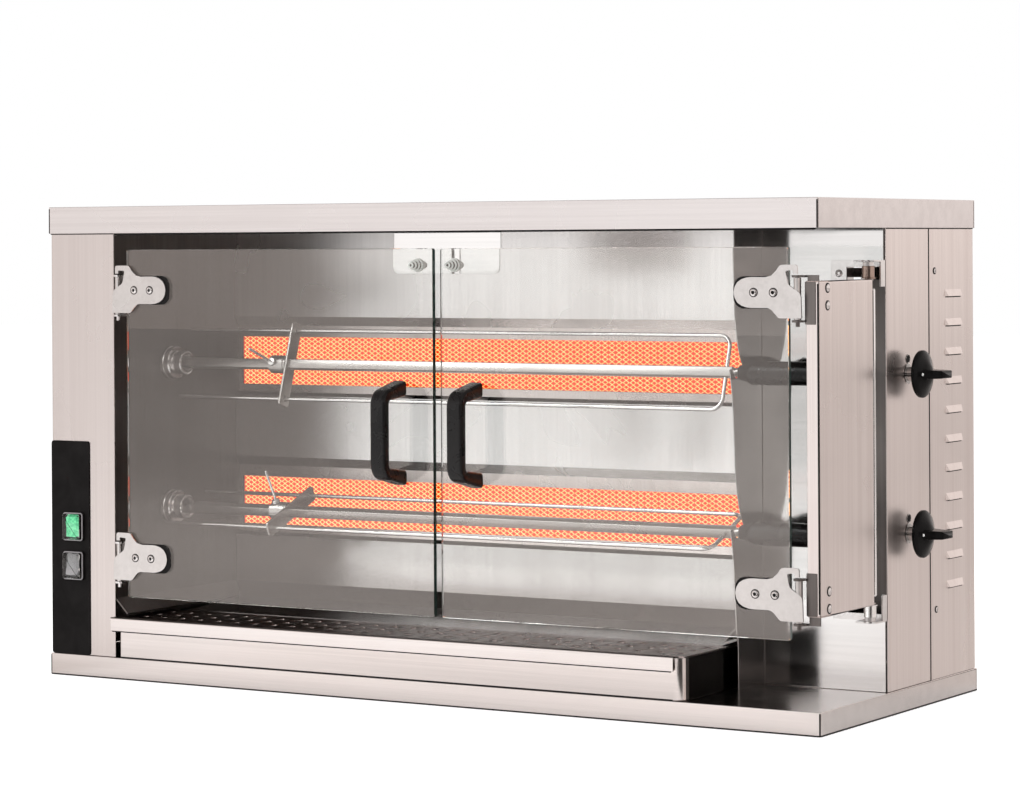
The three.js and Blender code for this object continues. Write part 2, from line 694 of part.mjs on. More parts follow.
// ---------------------------------------------------------------- burners
// A flanged box: the plaque's pocket and its ledge in front, then the plenum that the mixing tube feeds.
function burnerBody(level) {
  const height = burnerHeights[level];
  const window = [wallLeft + burnerWindowInset, plateFace - burnerWindowInset];
  const back = burnerFront + burnerBoxDepth;
  const half = burnerWindowHeight / 2;
  const grown = (growth, y) => block(
    [window[0] - growth, window[1] + growth], y, [height - half - growth, height + half + growth]);
  const flangeHeight = [height - burnerEdgeBottom, height + burnerEdgeTop];
  const flange = block(backX, [burnerFront, burnerFront + burnerFlangeSheet], flangeHeight);
  const box = grown(burnerWall, [burnerFront, back]);
  const seat = burnerFront + burnerFlangeSheet + plaqueThickness + fitGap;
  const pocket = grown(0, [burnerFront - 1, seat]);
  const throat = grown(-plaqueLedge, [seat - 1, seat + plaqueLedge + 1]);
  const plenum = grown(0, [seat + plaqueLedge, back - burnerWall]);
  const end = plateOuter + mixingTubeReach;
  const tube = rod('X', mixingTubeRadius, [window[1], end]).translate(0, mixingTubeDepth, height);
  const boreRadius = mixingTubeRadius - mixingTubeWall;
  const bore = rod('X', boreRadius, [window[1] - 1, end + 1]).translate(0, mixingTubeDepth, height);
  return cut(join(flange, box, tube), pocket, throat, plenum, bore);
}

function burnerPlaque(level) {
  const height = burnerHeights[level];
  const x = [wallLeft + burnerWindowInset + fitGap, plateFace - burnerWindowInset - fitGap];
  const half = burnerWindowHeight / 2 - fitGap;
  const front = burnerFront + burnerFlangeSheet;
  return block(x, [front, front + plaqueThickness], [height - half, height + half]);
}

// ---------------------------------------------------------------- drive and spits
function driveMotor(level) {
  const height = spitHeights[level];
  const face = wallLeft - sheet - fitGap;
  const [width, tall] = motorBoxSize;
  const section = rectangle([-width / 2, width / 2], [-tall / 2, tall / 2], motorBoxCorner);
  const box = extrude('X', section, [face - motorBoxLength, face]);
  const canFront = face - motorBoxLength;
  const can = rod('X', motorCanRadius, [canFront - motorCanLength, canFront + 1], 18);
  const bore = rod('X', shaftRadius + 2 * fitGap, [canFront + 4, face + 1]);
  return cut(join(box, can.translate(0, 6, 0)), bore).translate(0, spitDepth, height);
}

function driveSocket() {
  const disc = socketStart + socketDiscLength;
  const rim = 1.7;
  const recess = 8;
  const shaftEnd = wallLeft - sheet - fitGap - motorBoxLength + 6;
  const profile = [
    [0, shaftEnd], [shaftRadius, shaftEnd], [shaftRadius, socketStart], [socketDiscRadius, socketStart],
    [socketDiscRadius, disc - rim], [socketDiscRadius - rim, disc], [socketHubRadius - rim, disc],
    [socketHubRadius, disc + rim], [socketHubRadius, hubFace - rim], [socketHubRadius - rim, hubFace],
    [socketHubRadius - 4, hubFace], [socketHubRadius - 4, hubFace - recess], [0, hubFace - recess],
  ];
  const square = barSize / 2 + fitGap;
  const squareHole = block([barStart() - fitGap, hubFace], [-square, square], [-square, square]);
  return cut(turned('X', profile, 18), squareHole);
}

function barStart() {
  return socketStart + 6;
}

function spit() {
  const half = barSize / 2;
  const bar = block([barStart(), plateFace - 2], [-half, half], [-half, half]);
  const journal = rod('X', journalRadius, [plateFace - 8, plateOuter + spitHandleGap + 18], 12);
  const prongs = bentLine([
    [prongTip, 0, prongSpread], [prongEnd, 0, prongSpread],
    [prongEnd, 0, -prongSpread], [prongTip, 0, -prongSpread],
  ], prongCorner);
  return join(bar, journal, wire(prongs, prongRadius));
}

function spitHandle() {
  const start = plateOuter + spitHandleGap;
  const end = start + spitHandleLength;
  const bore = journalRadius + fitGap * 1.5;
  const profile = [
    [bore, start], [9, start], [10.5, start + 2], [spitHandleRadius - 1.5, start + 10],
    [spitHandleRadius, start + 18], [spitHandleRadius, end - 5], [spitHandleRadius - 1.5, end - 1.5],
    [spitHandleRadius - 5, end], [0, end], [0, start + 20], [bore, start + 20],
  ];
  return turned('X', [...profile, profile[0]], 16);
}

function spitClamp() {
  const face = clampPlace + clampThickness / 2;
  const blade = rectangle([-clampWidth / 2, clampWidth / 2], [-clampLength / 2, clampLength / 2], 4);
  for (const side of [-1, 1]) {
    blade.holes.push(hole(0, side * prongSpread, prongRadius + 0.5, 8));
  }
  const bladeX = [face - clampThickness, face];
  const collarX = [face - clampThickness - collarLength, face - 0.5];
  const square = barSize / 2 + fitGap;
  const squareHole = block([collarX[0] - 1, face + 1], [-square, square], [-square, square]);
  const screwHole = rod('Y', screwRadius + 2 * fitGap, [-collarRadius - 1, 0], 8);
  const body = join(extrude('X', blade, bladeX), rod('X', collarRadius, collarX, 14));
  return cut(body, squareHole, screwHole.translate(screwPlace(), 0, 0));
}

function screwPlace() {
  return clampPlace - clampThickness / 2 - collarLength / 2 - 5;
}

function thumbScrew() {
  const tip = -(barSize / 2 + fitGap);
  const head = -collarRadius - fitGap;
  const x = screwPlace();
  const shank = rod('Y', screwRadius, [head - 1, tip], 8).translate(x, 0, 0);
  const boss = rod('Y', 5, [head - 4, head], 10).translate(x, 0, 0);
  const handle = bentLine([
    [x, head - 2, 0], [x, head - 8, 0], [x - 9, head - screwHandleLength, 6],
  ], 4, 3);
  return join(shank, boss, wire(handle, screwHandleRadius, 6));
}

// ---------------------------------------------------------------- doors
function doorGlass([start, end], side) {
  const face = rectangle([start, end], [doorBottom, doorTop], 1.5);
  const pin = side > 0 ? leftPin : rightPin;
  for (const line of Object.values(hingeScrewLines)) {
    for (const place of hingeScrewPlaces) face.holes.push(hole(pin + side * place, line, 3.6, 8));
  }
  return extrude('Y', face, [doorFront, doorBack], { curveSegments: 2 });
}

// Hinge clamp of a glass door: horned front plate with its barrel, two studs through the glass, a back plate.
// Its outline is drawn from the pin axis; side is +1 where the glass lies to the right of the pin.
function hingePlate(level, side) {
  const pin = side > 0 ? leftPin : rightPin;
  const line = hingeScrewLines[level];
  const plateX = (along) => pin + side * along;
  const reach = hingePlateReach;
  const corners = [
    [-6.8, -29, 1], [-6, -1, 4], [10, 9, 3], [13.1, 24.5, 2], [3.2, 25.1, 1], [3.2, 21, 0], [-2, 21, 0],
    [-2, 31.3, 3], [20, 31.3, 3], [30, 17.1, 9], [reach - 17.5, 17.5, 6], [reach - 5, 12.4, 6], [reach, 0, 6],
    [reach - 5, -12.4, 6], [reach - 17.5, -17.5, 6], [32.7, -17.5, 4], [22, -29, 2],
  ];
  const face = roundedOutline(corners.map(([along, up, radius]) => [plateX(along), line + up, radius]));
  const front = [doorFront - fitGap - hingePlateThickness, doorFront - fitGap];
  const back = [doorBack + fitGap, doorBack + fitGap + hingePlateThickness];
  const strip = [plateX(21), plateX(reach - 2.5)].sort((a, b) => a - b);
  const backPlate = rectangle(strip, [line - 17, line + 17], 12);
  const barrelSpan = hingeBarrelSpan(line);
  const around = (geometry) => geometry.translate(pin, hingePinDepth, 0);
  const studs = hingeScrewPlaces.map((place) =>
    rod('Y', 3, [front[0] + 0.5, back[1] - 0.5], 6).translate(plateX(place), 0, line));
  const plate = join(
    extrude('Y', face, front, { curveSegments: 2 }),
    around(rod('Z', barrelRadius, barrelSpan, 12)),
    ...studs,
    extrude('Y', backPlate, back, { curveSegments: 3 }),
  );
  const bore = around(rod('Z', hingePinRadius + 1.5 * fitGap, [barrelSpan[0] - 1, barrelSpan[1] + 1], 10));
  return cut(plate, bore);
}

function hingeBarrelSpan(line) {
  return [line - 31 + fitGap, line + 17 - fitGap];
}

// The two ears and the pin that a hinge plate turns on. earFoot draws each ear's way back to its web.
function hingeBracket(level, pin, earFoot, web) {
  const line = hingeScrewLines[level];
  const ears = [[line - 31 - hingeEar, line - 31], [line + 17, line + 17 + hingeEar]];
  const around = (geometry) => geometry.translate(pin, hingePinDepth, 0);
  const pieces = ears.flatMap((span) => [
    around(rod('Z', hingeEarRadius, span, 12)),
    ...earFoot.map(([x, y]) => block(x, y, span)),
  ]);
  const shaft = around(rod('Z', hingePinRadius, [ears[0][0] - 5, ears[1][1]], 10));
  return join(...pieces, shaft, block(web[0], web[1], [ears[0][0], ears[1][1]]));
}

function leftHingeBracket(level) {
  const x = [wallLeft + fitGap, wallLeft + fitGap + bracketSheet];
  const foot = [[[x[0], leftPin + 3], [hingePinDepth, 24]]];
  return hingeBracket(level, leftPin, foot, [x, [9, 24]]);
}

function armHingeBracket(level) {
  const y = [armFront + sheet + fitGap, armFront + sheet + fitGap + bracketSheet];
  const flangeStart = armOuter - armFlange;
  const web = [flangeStart + 1, armOuter - sheet - fitGap];
  const foot = [[[rightPin, web[1]], y], [[rightPin, flangeStart - fitGap], [hingePinDepth, y[1]]]];
  return hingeBracket(level, rightPin, foot, [web, y]);
}

// Bow handle: its side outline cut by a plan and a front outline, so that all its outer edges are rounded.
function doorHandle(side) {
  const feet = doorFront - fitGap;
  const grip = handleFront + 12;
  const slope = 9;
  const x = [handlePlaces[side] - handleWidth / 2, handlePlaces[side] + handleWidth / 2];
  const bow = roundedOutline([
    [feet, handleBottom, 1], [handleFront, handleBottom + slope, 14], [handleFront, handleTop - slope, 14],
    [feet, handleTop, 1], [feet, handleTop - 20, 1], [grip, handleTop - 25, 7],
    [grip, handleBottom + 25, 7], [feet, handleBottom + 18, 1],
  ]);
  const plan = roundedOutline([[x[0], handleFront, 5], [x[1], handleFront, 5], [x[1], feet], [x[0], feet]]);
  const front = rectangle(x, [handleBottom, handleTop], 5);
  return common(
    extrude('X', bow, x),
    extrude('Z', plan, [handleBottom - 1, handleTop + 1]),
    extrude('Y', front, [handleFront - 1, feet + 1]),
  );
}

// ---------------------------------------------------------------- swing arm that carries the right door
function swingArm() {
  const start = armOuter - armFlange;
  const line = [[start, armFront], [armOuter, armFront], [armOuter, armBack], [start + 2, armBack]];
  const channel = extrude('Z', folded(line), [armBottom, armTop]);
  const [x, y] = armPivot;
  const ends = [[armBottom, armBottom + sheet], [armTop - sheet, armTop]].flatMap((span) => [
    block([start, armOuter], [armFront + armEndSetback, armBack], span),
    block([x - armTongueRadius, x + armTongueRadius], [armBack - 5, y], span),
    rod('Z', armTongueRadius, span, 14).translate(x, y, 0),
  ]);
  const bore = rod('Z', armPinRadius + fitGap * 1.5, [armBottom - 1, armTop + 1], 10).translate(x, y, 0);
  return cut(join(channel, ...ends), bore);
}

// Pivot bracket over the end of the recessed panel's window: post, band and leg, side return, ear, and the
// pin that enters the arm's tongue.
function armBracket(level) {
  const [x, y] = armPivot;
  const upward = level === 'upper' ? 1 : -1;
  const armEnd = upward > 0 ? armTop : armBottom;
  const outer = armEnd + upward * (armBracketStand + bracketSheet);
  const span = (near, far) => [armEnd + upward * near, armEnd + upward * far].sort((a, b) => a - b);
  const height = [outer, outer - upward * armBracketHeight].sort((a, b) => a - b);
  const back = recessDepth - fitGap;
  const web = [back - bracketSheet, back];
  const side = armOuter - bracketSheet;
  const ear = span(armBracketStand, armBracketStand + bracketSheet);
  const around = (geometry) => geometry.translate(x, y, 0);
  const band = span(armBracketStand + bracketSheet - armBracketBand, armBracketStand + bracketSheet);
  const postStart = side - armBracketWidth;
  return join(
    block([postStart, postStart + armBracketPost], web, height),
    block([postStart, side], web, band),
    block([side - armBracketLeg, side], web, height),
    block([side - bracketSheet, side], [back - armBracketReturn, back], height),
    block([x - 16, side], [y - 6, back], ear),
    around(rod('Z', 8, ear, 14)),
    around(rod('Z', armPinRadius + 2.5, span(fitGap, armBracketStand + 1), 10)),
    around(rod('Z', armPinRadius, span(-4, armBracketStand), 10)),
  );
}

// ---------------------------------------------------------------- drip tray
function dripTray() {
  const wallInner = sheet;
  const plan = roundedOutline([
    [trayX[0], 0], [trayX[1], 0, trayCorner], [trayX[1], trayDepth], [trayX[0], trayDepth],
  ]);
  const pocketPlan = roundedOutline([
    [trayX[0] + wallInner, wallInner], [trayX[1] - wallInner, wallInner, trayCorner - wallInner],
    [trayX[1] - wallInner, trayDepth - wallInner], [trayX[0] + wallInner, trayDepth - wallInner],
  ]);
  const shell = cut(
    extrude('Z', plan, [trayFloor, trayWallTop]),
    extrude('Z', pocketPlan, [trayFloor + sheet, trayWallTop + 1]),
  );
  const lipTop = trayWallTop + fitGap + sheet;
  const lipLine = [
    [sheet, trayWallTop - 6], [sheet, lipTop], [-trayLipReach, lipTop], [-trayLipReach, lipTop - trayLipDrop],
  ];
  const lip = extrude('X', folded(lipLine), [trayX[0] - trayLipOverhang, trayX[1] - trayCorner + 3]);
  return join(shell, lip);
}

// A perforated plate laid over the tray's front: three rows of holes, a downturned rim at its outer end.
function dripGrid(side) {
  const bottom = trayWallTop + fitGap;
  const z = [bottom, bottom + sheet];
  const outerEnd = side < 0 ? trayX[0] : trayX[1];
  const x = side < 0 ? [outerEnd, gridJoint - fitGap / 2] : [gridJoint + fitGap / 2, outerEnd];
  const y = [gridFront, gridFront + gridDepth];
  const plate = rectangle(x, y);
  const columns = Math.floor((x[1] - x[0] - gridHolePitch) / gridHolePitch);
  const margin = (x[1] - x[0] - columns * gridHolePitch) / 2;
  for (let column = 0; column <= columns; column += 1) {
    for (const row of [-1, 0, 1]) {
      const middle = (y[0] + y[1]) / 2 + row * gridHolePitch;
      plate.holes.push(hole(x[0] + margin + column * gridHolePitch, middle, gridHoleRadius, 6));
    }
  }
  const rimX = outerEnd - side * (sheet + fitGap);
  const rim = [rimX, rimX - side * sheet].sort((a, b) => a - b);
  return join(extrude('Z', plate, z), block(rim, [y[0] + trayCorner, y[1] - 2], [bottom - gridRim, z[1]]));
}

// ---------------------------------------------------------------- latch
function latchPlate() {
  const top = ceilingHeight - fitGap;
  const x = [latchLeft, latchLeft + latchWidth];
  const face = roundedOutline([
    [x[0], latchBottom, latchCorner], [x[1], latchBottom, latchCorner], [x[1], top], [x[0], top],
  ]);
  for (const place of Object.values(bumperPlaces)) face.holes.push(hole(place, bumperHeight, 3, 12));
  const plate = extrude('Y', face, [latchDepth, latchDepth + sheet]);
  return join(plate, block(x, [latchDepth, latchDepth + 22], [top - sheet, top]));
}

// Ribbed rubber bumper that the closed glass rests on, with a stud through the latch plate.
function bumper(side) {
  const front = doorBack + fitGap;
  const back = latchDepth - fitGap;
  const ribs = 4;
  const pitch = (back - front) / ribs;
  const profile = [[0, front], [bumperRadius - 3.4, front]];
  for (let rib = 0; rib < ribs; rib += 1) {
    const grow = bumperRadius - 0.8 * (ribs - 1 - rib);
    profile.push([grow, front + (rib + 0.35) * pitch], [grow, front + (rib + 0.6) * pitch]);
    profile.push([grow - 1.4, front + (rib + 0.95) * pitch]);
  }
  profile.push([bumperRadius - 1.4, back], [2.5, back], [2.5, back + 5], [0, back + 5]);
  const points = profile.map(([radius, along]) => new THREE.Vector2(radius, along));
  const body = new THREE.LatheGeometry(points, 10);
  return body.translate(bumperPlaces[side], 0, bumperHeight);
}

// ---------------------------------------------------------------- switches
function switchHousing(level) {
  const centre = left + switchPlace;
  const height = switchHeights[level];
  const front = lipClear - fitGap - controlPanelSheet - fitGap;
  const half = (size) => [-size / 2, size / 2];
  const bezel = extrude('Y', rectangle(half(switchBezel[0]), half(switchBezel[1]), 3), [front - 2.5, front]);
  const body = block(half(switchBody[0]), [front - 1, front + 26], half(switchBody[1]));
  const pocket = block(half(18), [front - 3, front + 12], half(27));
  return cut(join(bezel, body), pocket).translate(centre, 0, height);
}

function rocker() {
  const profile = [[-3.6, 12], [-1.6, 0], [-3.6, -12], [2, -12], [6.5, -5], [6.5, 5], [2, 12]];
  return extrude('X', outline(profile), [-8.7, 8.7]);
}

// ---------------------------------------------------------------- assembly
const oven = new THREE.Group();
oven.position.set(-(left + knobEnd) / 2, -(handleFront + cabinetDepth) / 2, 0);

piece(oven, 'base_tray', 'brushed', baseTray());
piece(oven, 'hood', 'brushed', hood());
piece(oven, 'left_housing', 'brushed', leftHousing());
piece(oven, 'control_panel', 'panelBlack', controlPanel());
piece(oven, 'chamber_left_wall', 'polished', chamberLeftWall());
const panelOver = (level) => burnerHeights[level] + burnerEdgeTop + panelBevelHeight;
const middlePanelTop = burnerHeights.upper - burnerEdgeBottom - fitGap - panelDrop;
piece(oven, 'upper_back_panel', 'polished', backPanel(panelHigh, panelOver('upper')));
piece(oven, 'middle_back_panel', 'polished', backPanel(middlePanelTop, panelOver('lower')));
piece(oven, 'lower_back_panel', 'polished', lowerBackPanel());
piece(oven, 'chamber_ceiling', 'polished', chamberCeiling());
piece(oven, 'spit_support_plate', 'polished', spitSupportPlate());
piece(oven, 'rear_cover', 'brushed', rearCover());
piece(oven, 'recess_panel', 'polished', recessPanel());
piece(oven, 'knob_panel', 'brushed', knobPanel());
piece(oven, 'side_cover', 'brushed', sideCover());
piece(oven, 'gas_manifold', 'brass', gasManifold());
piece(oven, 'latch_plate', 'bright', latchPlate());
piece(oven, 'left_bumper', 'rubber', bumper('left'));
piece(oven, 'right_bumper', 'rubber', bumper('right'));

for (const level of ['upper', 'lower']) {
  piece(oven, `${level}_burner_body`, 'brushed', burnerBody(level));
  piece(oven, `${level}_burner_plaque`, 'ceramic', burnerPlaque(level));
  piece(oven, `${level}_gas_valve`, 'brass', gasValve(level));
  piece(oven, `${level}_knob`, 'black', knob(level));
  piece(oven, `${level}_drive_motor`, 'motor', driveMotor(level));
  piece(oven, `${level}_left_hinge_bracket`, 'bright', leftHingeBracket(level));
  piece(oven, `${level}_left_hinge_plate`, 'bright', hingePlate(level, 1));
  piece(oven, `${level}_right_hinge_plate`, 'bright', hingePlate(level, -1));
  piece(oven, `${level}_arm_hinge_bracket`, 'bright', armHingeBracket(level));
  piece(oven, `${level}_arm_bracket`, 'bright', armBracket(level));
  piece(oven, `${level}_switch_housing`, 'panelBlack', switchHousing(level));

  const spitAxis = new THREE.Group();
  spitAxis.position.set(0, spitDepth, spitHeights[level]);
  spitAxis.rotation.x = THREE.MathUtils.degToRad(-forkTilts[level]);
  oven.add(spitAxis);
  piece(spitAxis, `${level}_drive_socket`, 'bright', driveSocket());
  piece(spitAxis, `${level}_spit`, 'bright', spit());
  piece(spitAxis, `${level}_spit_handle`, 'black', spitHandle());
  piece(spitAxis, `${level}_spit_clamp`, 'bright', spitClamp());
  piece(spitAxis, `${level}_thumb_screw`, 'bright', thumbScrew());

  const rockerAxis = new THREE.Group();
  rockerAxis.position.set(left + switchPlace, rockerDepth, switchHeights[level]);
  rockerAxis.rotation.x = THREE.MathUtils.degToRad(level === 'upper' ? rockerTilt : -rockerTilt);
  oven.add(rockerAxis);
  piece(rockerAxis, `${level}_rocker`, level === 'upper' ? 'green' : 'black', rocker());
}

for (const side of ['left', 'right']) {
  const span = side === 'left' ? leftDoor : rightDoor;
  piece(oven, `${side}_door_glass`, 'glass', doorGlass(span, side === 'left' ? 1 : -1));
  piece(oven, `${side}_door_handle`, 'black', doorHandle(side));
  piece(oven, `${side}_drip_grid`, 'bright', dripGrid(side === 'left' ? -1 : 1));
}

piece(oven, 'swing_arm', 'brushed', swingArm());
piece(oven, 'drip_tray', 'brushed', dripTray());

export default oven;
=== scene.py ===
"""Rotisserie oven: its finish and small parts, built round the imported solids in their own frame, in metres."""
import json
import math

import bmesh
import bpy
import numpy as np
from mathutils import Matrix, Vector


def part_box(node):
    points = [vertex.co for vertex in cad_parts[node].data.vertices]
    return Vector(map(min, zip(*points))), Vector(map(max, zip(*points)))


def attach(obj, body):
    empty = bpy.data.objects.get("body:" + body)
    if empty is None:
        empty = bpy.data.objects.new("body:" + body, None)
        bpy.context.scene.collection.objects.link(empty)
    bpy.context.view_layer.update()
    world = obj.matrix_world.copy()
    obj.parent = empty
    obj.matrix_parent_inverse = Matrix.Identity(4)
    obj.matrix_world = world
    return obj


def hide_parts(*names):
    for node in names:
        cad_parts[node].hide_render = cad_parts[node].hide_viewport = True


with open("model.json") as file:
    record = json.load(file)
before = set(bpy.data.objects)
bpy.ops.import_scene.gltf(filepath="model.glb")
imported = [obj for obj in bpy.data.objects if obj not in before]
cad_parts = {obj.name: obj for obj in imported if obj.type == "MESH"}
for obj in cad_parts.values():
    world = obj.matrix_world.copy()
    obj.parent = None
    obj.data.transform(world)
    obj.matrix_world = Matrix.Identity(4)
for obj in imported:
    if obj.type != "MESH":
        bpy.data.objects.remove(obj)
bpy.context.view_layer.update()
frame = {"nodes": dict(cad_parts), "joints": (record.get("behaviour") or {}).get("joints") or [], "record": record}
scene = bpy.context.scene
MM = 0.001
RIGHT, BACK, FRONT, UP = (1, 0, 0), (0, 1, 0), (0, -1, 0), (0, 0, 1)
LEVELS, SIDES = ("upper", "lower"), ("left", "right")


# ---------------- camera
CAMERA_PLACE = (2.1151, -3.4489, 0.553)
CAMERA_HEADING = math.radians(31.46)   # turned from +Y towards -X
CAMERA_ROLL = math.radians(0.322)
CAMERA_LENS = 114.22
CAMERA_SHIFT = -0.1508


def place_camera():
    """A level camera whose picture is shifted down, so that upright edges stay upright."""
    data = bpy.data.cameras.new("view")
    data.lens, data.sensor_width, data.sensor_fit = CAMERA_LENS, 36, "HORIZONTAL"
    data.shift_y, data.clip_start, data.clip_end = CAMERA_SHIFT, 0.05, 100
    ahead = Vector((-math.sin(CAMERA_HEADING), math.cos(CAMERA_HEADING), 0))
    level, upward = ahead.cross(UP), Vector(UP)
    right = math.cos(CAMERA_ROLL) * level - math.sin(CAMERA_ROLL) * upward
    turn = Matrix((right, right.cross(ahead), -ahead)).transposed().to_4x4()
    camera = bpy.data.objects.new("view", data)
    camera.matrix_world = Matrix.Translation(CAMERA_PLACE) @ turn
    scene.collection.objects.link(camera)
    scene.camera = camera


# ---------------- shader building
class Shader:
    """A short way to write a node tree: add() makes a node, sets its sockets and links what is given
    as a socket."""

    def __init__(self, tree):
        self.tree = tree

    def add(self, kind, sockets=None, **settings):
        node = self.tree.nodes.new(kind)
        for key, value in settings.items():
            setattr(node, key, value)
        for key, value in (sockets or {}).items():
            self.put(node.inputs[key], value)
        return node

    def put(self, socket, value):
        if isinstance(value, bpy.types.NodeSocket):
            self.tree.links.new(value, socket)
        elif isinstance(value, bpy.types.Node):
            self.tree.links.new(value.outputs[0], socket)
        else:
            socket.default_value = value

    def math(self, operation, a, b, clamp=False):
        return self.add("ShaderNodeMath", {0: a, 1: b}, operation=operation, use_clamp=clamp).outputs[0]

    def vector(self, operation, a, b=None, result="Vector"):
        sockets = {0: a} if b is None else {0: a, 1: b}
        return self.add("ShaderNodeVectorMath", sockets, operation=operation).outputs[result]

    def place(self):
        return self.add("ShaderNodeTexCoord").outputs["Object"]

    def ray(self, kind, other=None):
        """1 where the ray is of that kind, or of either kind if two are given, and 0 elsewhere."""
        path = self.add("ShaderNodeLightPath").outputs
        first = path[f"Is {kind} Ray"]
        return self.math("MAXIMUM", first, path[f"Is {other} Ray"]) if other else first

    def noise(self, scale, detail, **sockets):
        return self.add("ShaderNodeTexNoise", {"Scale": scale, "Detail": detail, **sockets}).outputs["Fac"]

    def spread(self, value, low, high, to_low, to_high):
        node = self.add("ShaderNodeMapRange", {"Value": value, "From Min": low, "From Max": high,
                                               "To Min": to_low, "To Max": to_high},
                        interpolation_type="SMOOTHSTEP")
        return node.outputs["Result"]

    def blend(self, share, a, b, how="MIX"):
        node = self.add("ShaderNodeMix", data_type="RGBA", blend_type=how, clamp_factor=True)
        for index, value in ((0, share), (6, a), (7, b)):
            self.put(node.inputs[index], value)
        return node.outputs[2]


def group(name, entry, kind, results, build):
    """A node group with one input and float outputs; build(shader, its input, its outputs) fills it."""
    tree = bpy.data.node_groups.new(name, "ShaderNodeTree")
    tree.interface.new_socket(name=entry, in_out="INPUT", socket_type=kind)
    for result in results:
        tree.interface.new_socket(name=result, in_out="OUTPUT", socket_type="NodeSocketFloat")
    shader = Shader(tree)
    build(shader, shader.add("NodeGroupInput").outputs[0], shader.add("NodeGroupOutput").inputs)
    return tree


def new_material(name, **sockets):
    """A material, its shader, and its Principled BSDF with those values. An underscore stands for a space."""
    material = bpy.data.materials.new(name.replace("_", " ").capitalize())
    material.use_nodes = True
    material.node_tree.nodes.clear()
    shader = Shader(material.node_tree)
    values = {key.replace("_", " "): value for key, value in sockets.items()}
    body = shader.add("ShaderNodeBsdfPrincipled", values)
    out = shader.add("ShaderNodeOutputMaterial", {"Surface": body})
    return material, shader, body, out


def build_grain(shader, frequency, results):
    """Brushed grain: two noises drawn out along one direction. Tone and Height run from 0 to 1."""
    drawn = shader.vector("MULTIPLY", shader.place(), frequency)
    fine = shader.noise(1.0, 3.0, Vector=drawn, Roughness=0.65)
    wide_place = shader.vector("MULTIPLY", drawn, (0.13, 0.13, 0.13))
    wide = shader.noise(1.0, 2.0, Vector=wide_place, Roughness=0.5)
    both = shader.math("ADD", shader.math("MULTIPLY", wide, 0.45), shader.math("MULTIPLY", fine, 0.55))
    shader.put(results["Height"], fine)
    shader.put(results["Tone"], shader.spread(both, 0.36, 0.64, 0.0, 1.0))


def build_handling(shader, scale, results):
    """Soft clouds of handling and cleaning, from 0 to 1."""
    cloud = shader.noise(scale, 4.0, Vector=shader.place(), Roughness=0.6, Distortion=0.6)
    shader.put(results["Mask"], shader.spread(cloud, 0.35, 0.7, 0.0, 1.0))


GRAIN = group("Brushed grain", "Frequency", "NodeSocketVector", ["Tone", "Height"], build_grain)
HANDLING = group("Handling clouds", "Scale", "NodeSocketFloat", ["Mask"], build_handling)


def vary_gloss(shader, body, clouds, roughness, spread):
    """Roughness that drifts by spread either way with the handling clouds, whose mask is given back."""
    mask = shader.add("ShaderNodeGroup", {"Scale": clouds}, node_tree=HANDLING).outputs["Mask"]
    shader.put(body.inputs["Roughness"], shader.spread(mask, 0, 1, roughness - spread, roughness + spread))
    return mask


def sheet_steel(name, colour, shade, roughness, grain, relief):
    """Stainless sheet: grain gives its tone and a hair of relief in millimetres, clouds vary its gloss."""
    material, shader, body, _ = new_material(name, Metallic=1.0)
    lines = shader.add("ShaderNodeGroup", {"Frequency": grain}, node_tree=GRAIN).outputs
    shader.put(body.inputs["Base Color"], shader.blend(lines["Tone"], (*shade, 1), (*colour, 1)))
    vary_gloss(shader, body, 3.0, roughness, 0.05)
    bump = shader.add("ShaderNodeBump", {"Strength": 0.35, "Distance": relief * MM, "Height": lines["Height"]})
    shader.put(body.inputs["Normal"], bump)
    return material


def moulded(name, colour, roughness, coat, clouds, pebble, gloss):
    """Moulded plastic or rubber: an even colour with soft changes of gloss and a fine pebble."""
    material, shader, body, _ = new_material(name, Specular_IOR_Level=gloss, Coat_Weight=coat,
                                             Coat_Roughness=0.12)
    mask = vary_gloss(shader, body, clouds, roughness, 0.06)
    lighter = tuple(min(1.0, c * 1.25 + 0.004) for c in colour)
    shader.put(body.inputs["Base Color"], shader.blend(mask, (*colour, 1), (*lighter, 1)))
    if pebble:
        grit = shader.noise(900.0, 2.0, Vector=shader.place())
        bump = shader.add("ShaderNodeBump", {"Strength": 0.4, "Distance": pebble * MM, "Height": grit})
        shader.put(body.inputs["Normal"], bump)
    return material


def clear_glass(name, colour, ior, veil):
    """Float glass. Shadow and diffuse rays pass straight through, so that the lamps reach behind it."""
    material, shader, body, out = new_material(name, Base_Color=(*colour, 1), Roughness=0.0, IOR=ior,
                                               Transmission_Weight=1.0, Specular_Tint=(*veil, 1))
    passes = shader.ray("Shadow", "Diffuse")
    through = shader.add("ShaderNodeBsdfTransparent", {"Color": (0.9, 0.93, 0.92, 1)})
    shader.put(out.inputs["Surface"], shader.add("ShaderNodeMixShader", {0: passes, 1: body, 2: through}))
    return material


def glowing(name, colour, cool, hot, strength, mottle):
    """A body that gives off its own light, brighter in small patches; what steel mirrors of it is dull."""
    material, shader, body, out = new_material(name, Base_Color=(*colour, 1), Roughness=0.8,
                                               Emission_Strength=strength)
    heat = shader.spread(shader.noise(mottle, 2.0, Vector=shader.place()), 0.35, 0.65, 0.0, 1.0)
    shader.put(body.inputs["Emission Color"], shader.blend(heat, (*cool, 1), (*hot, 1)))
    dull = shader.add("ShaderNodeBsdfDiffuse", {"Color": (0.03, 0.02, 0.018, 1)})
    mirrored = shader.math("SUBTRACT", shader.ray("Glossy"), shader.ray("Transmission"), clamp=True)
    shader.put(out.inputs["Surface"], shader.add("ShaderNodeMixShader", {0: mirrored, 1: body, 2: dull}))
    return material


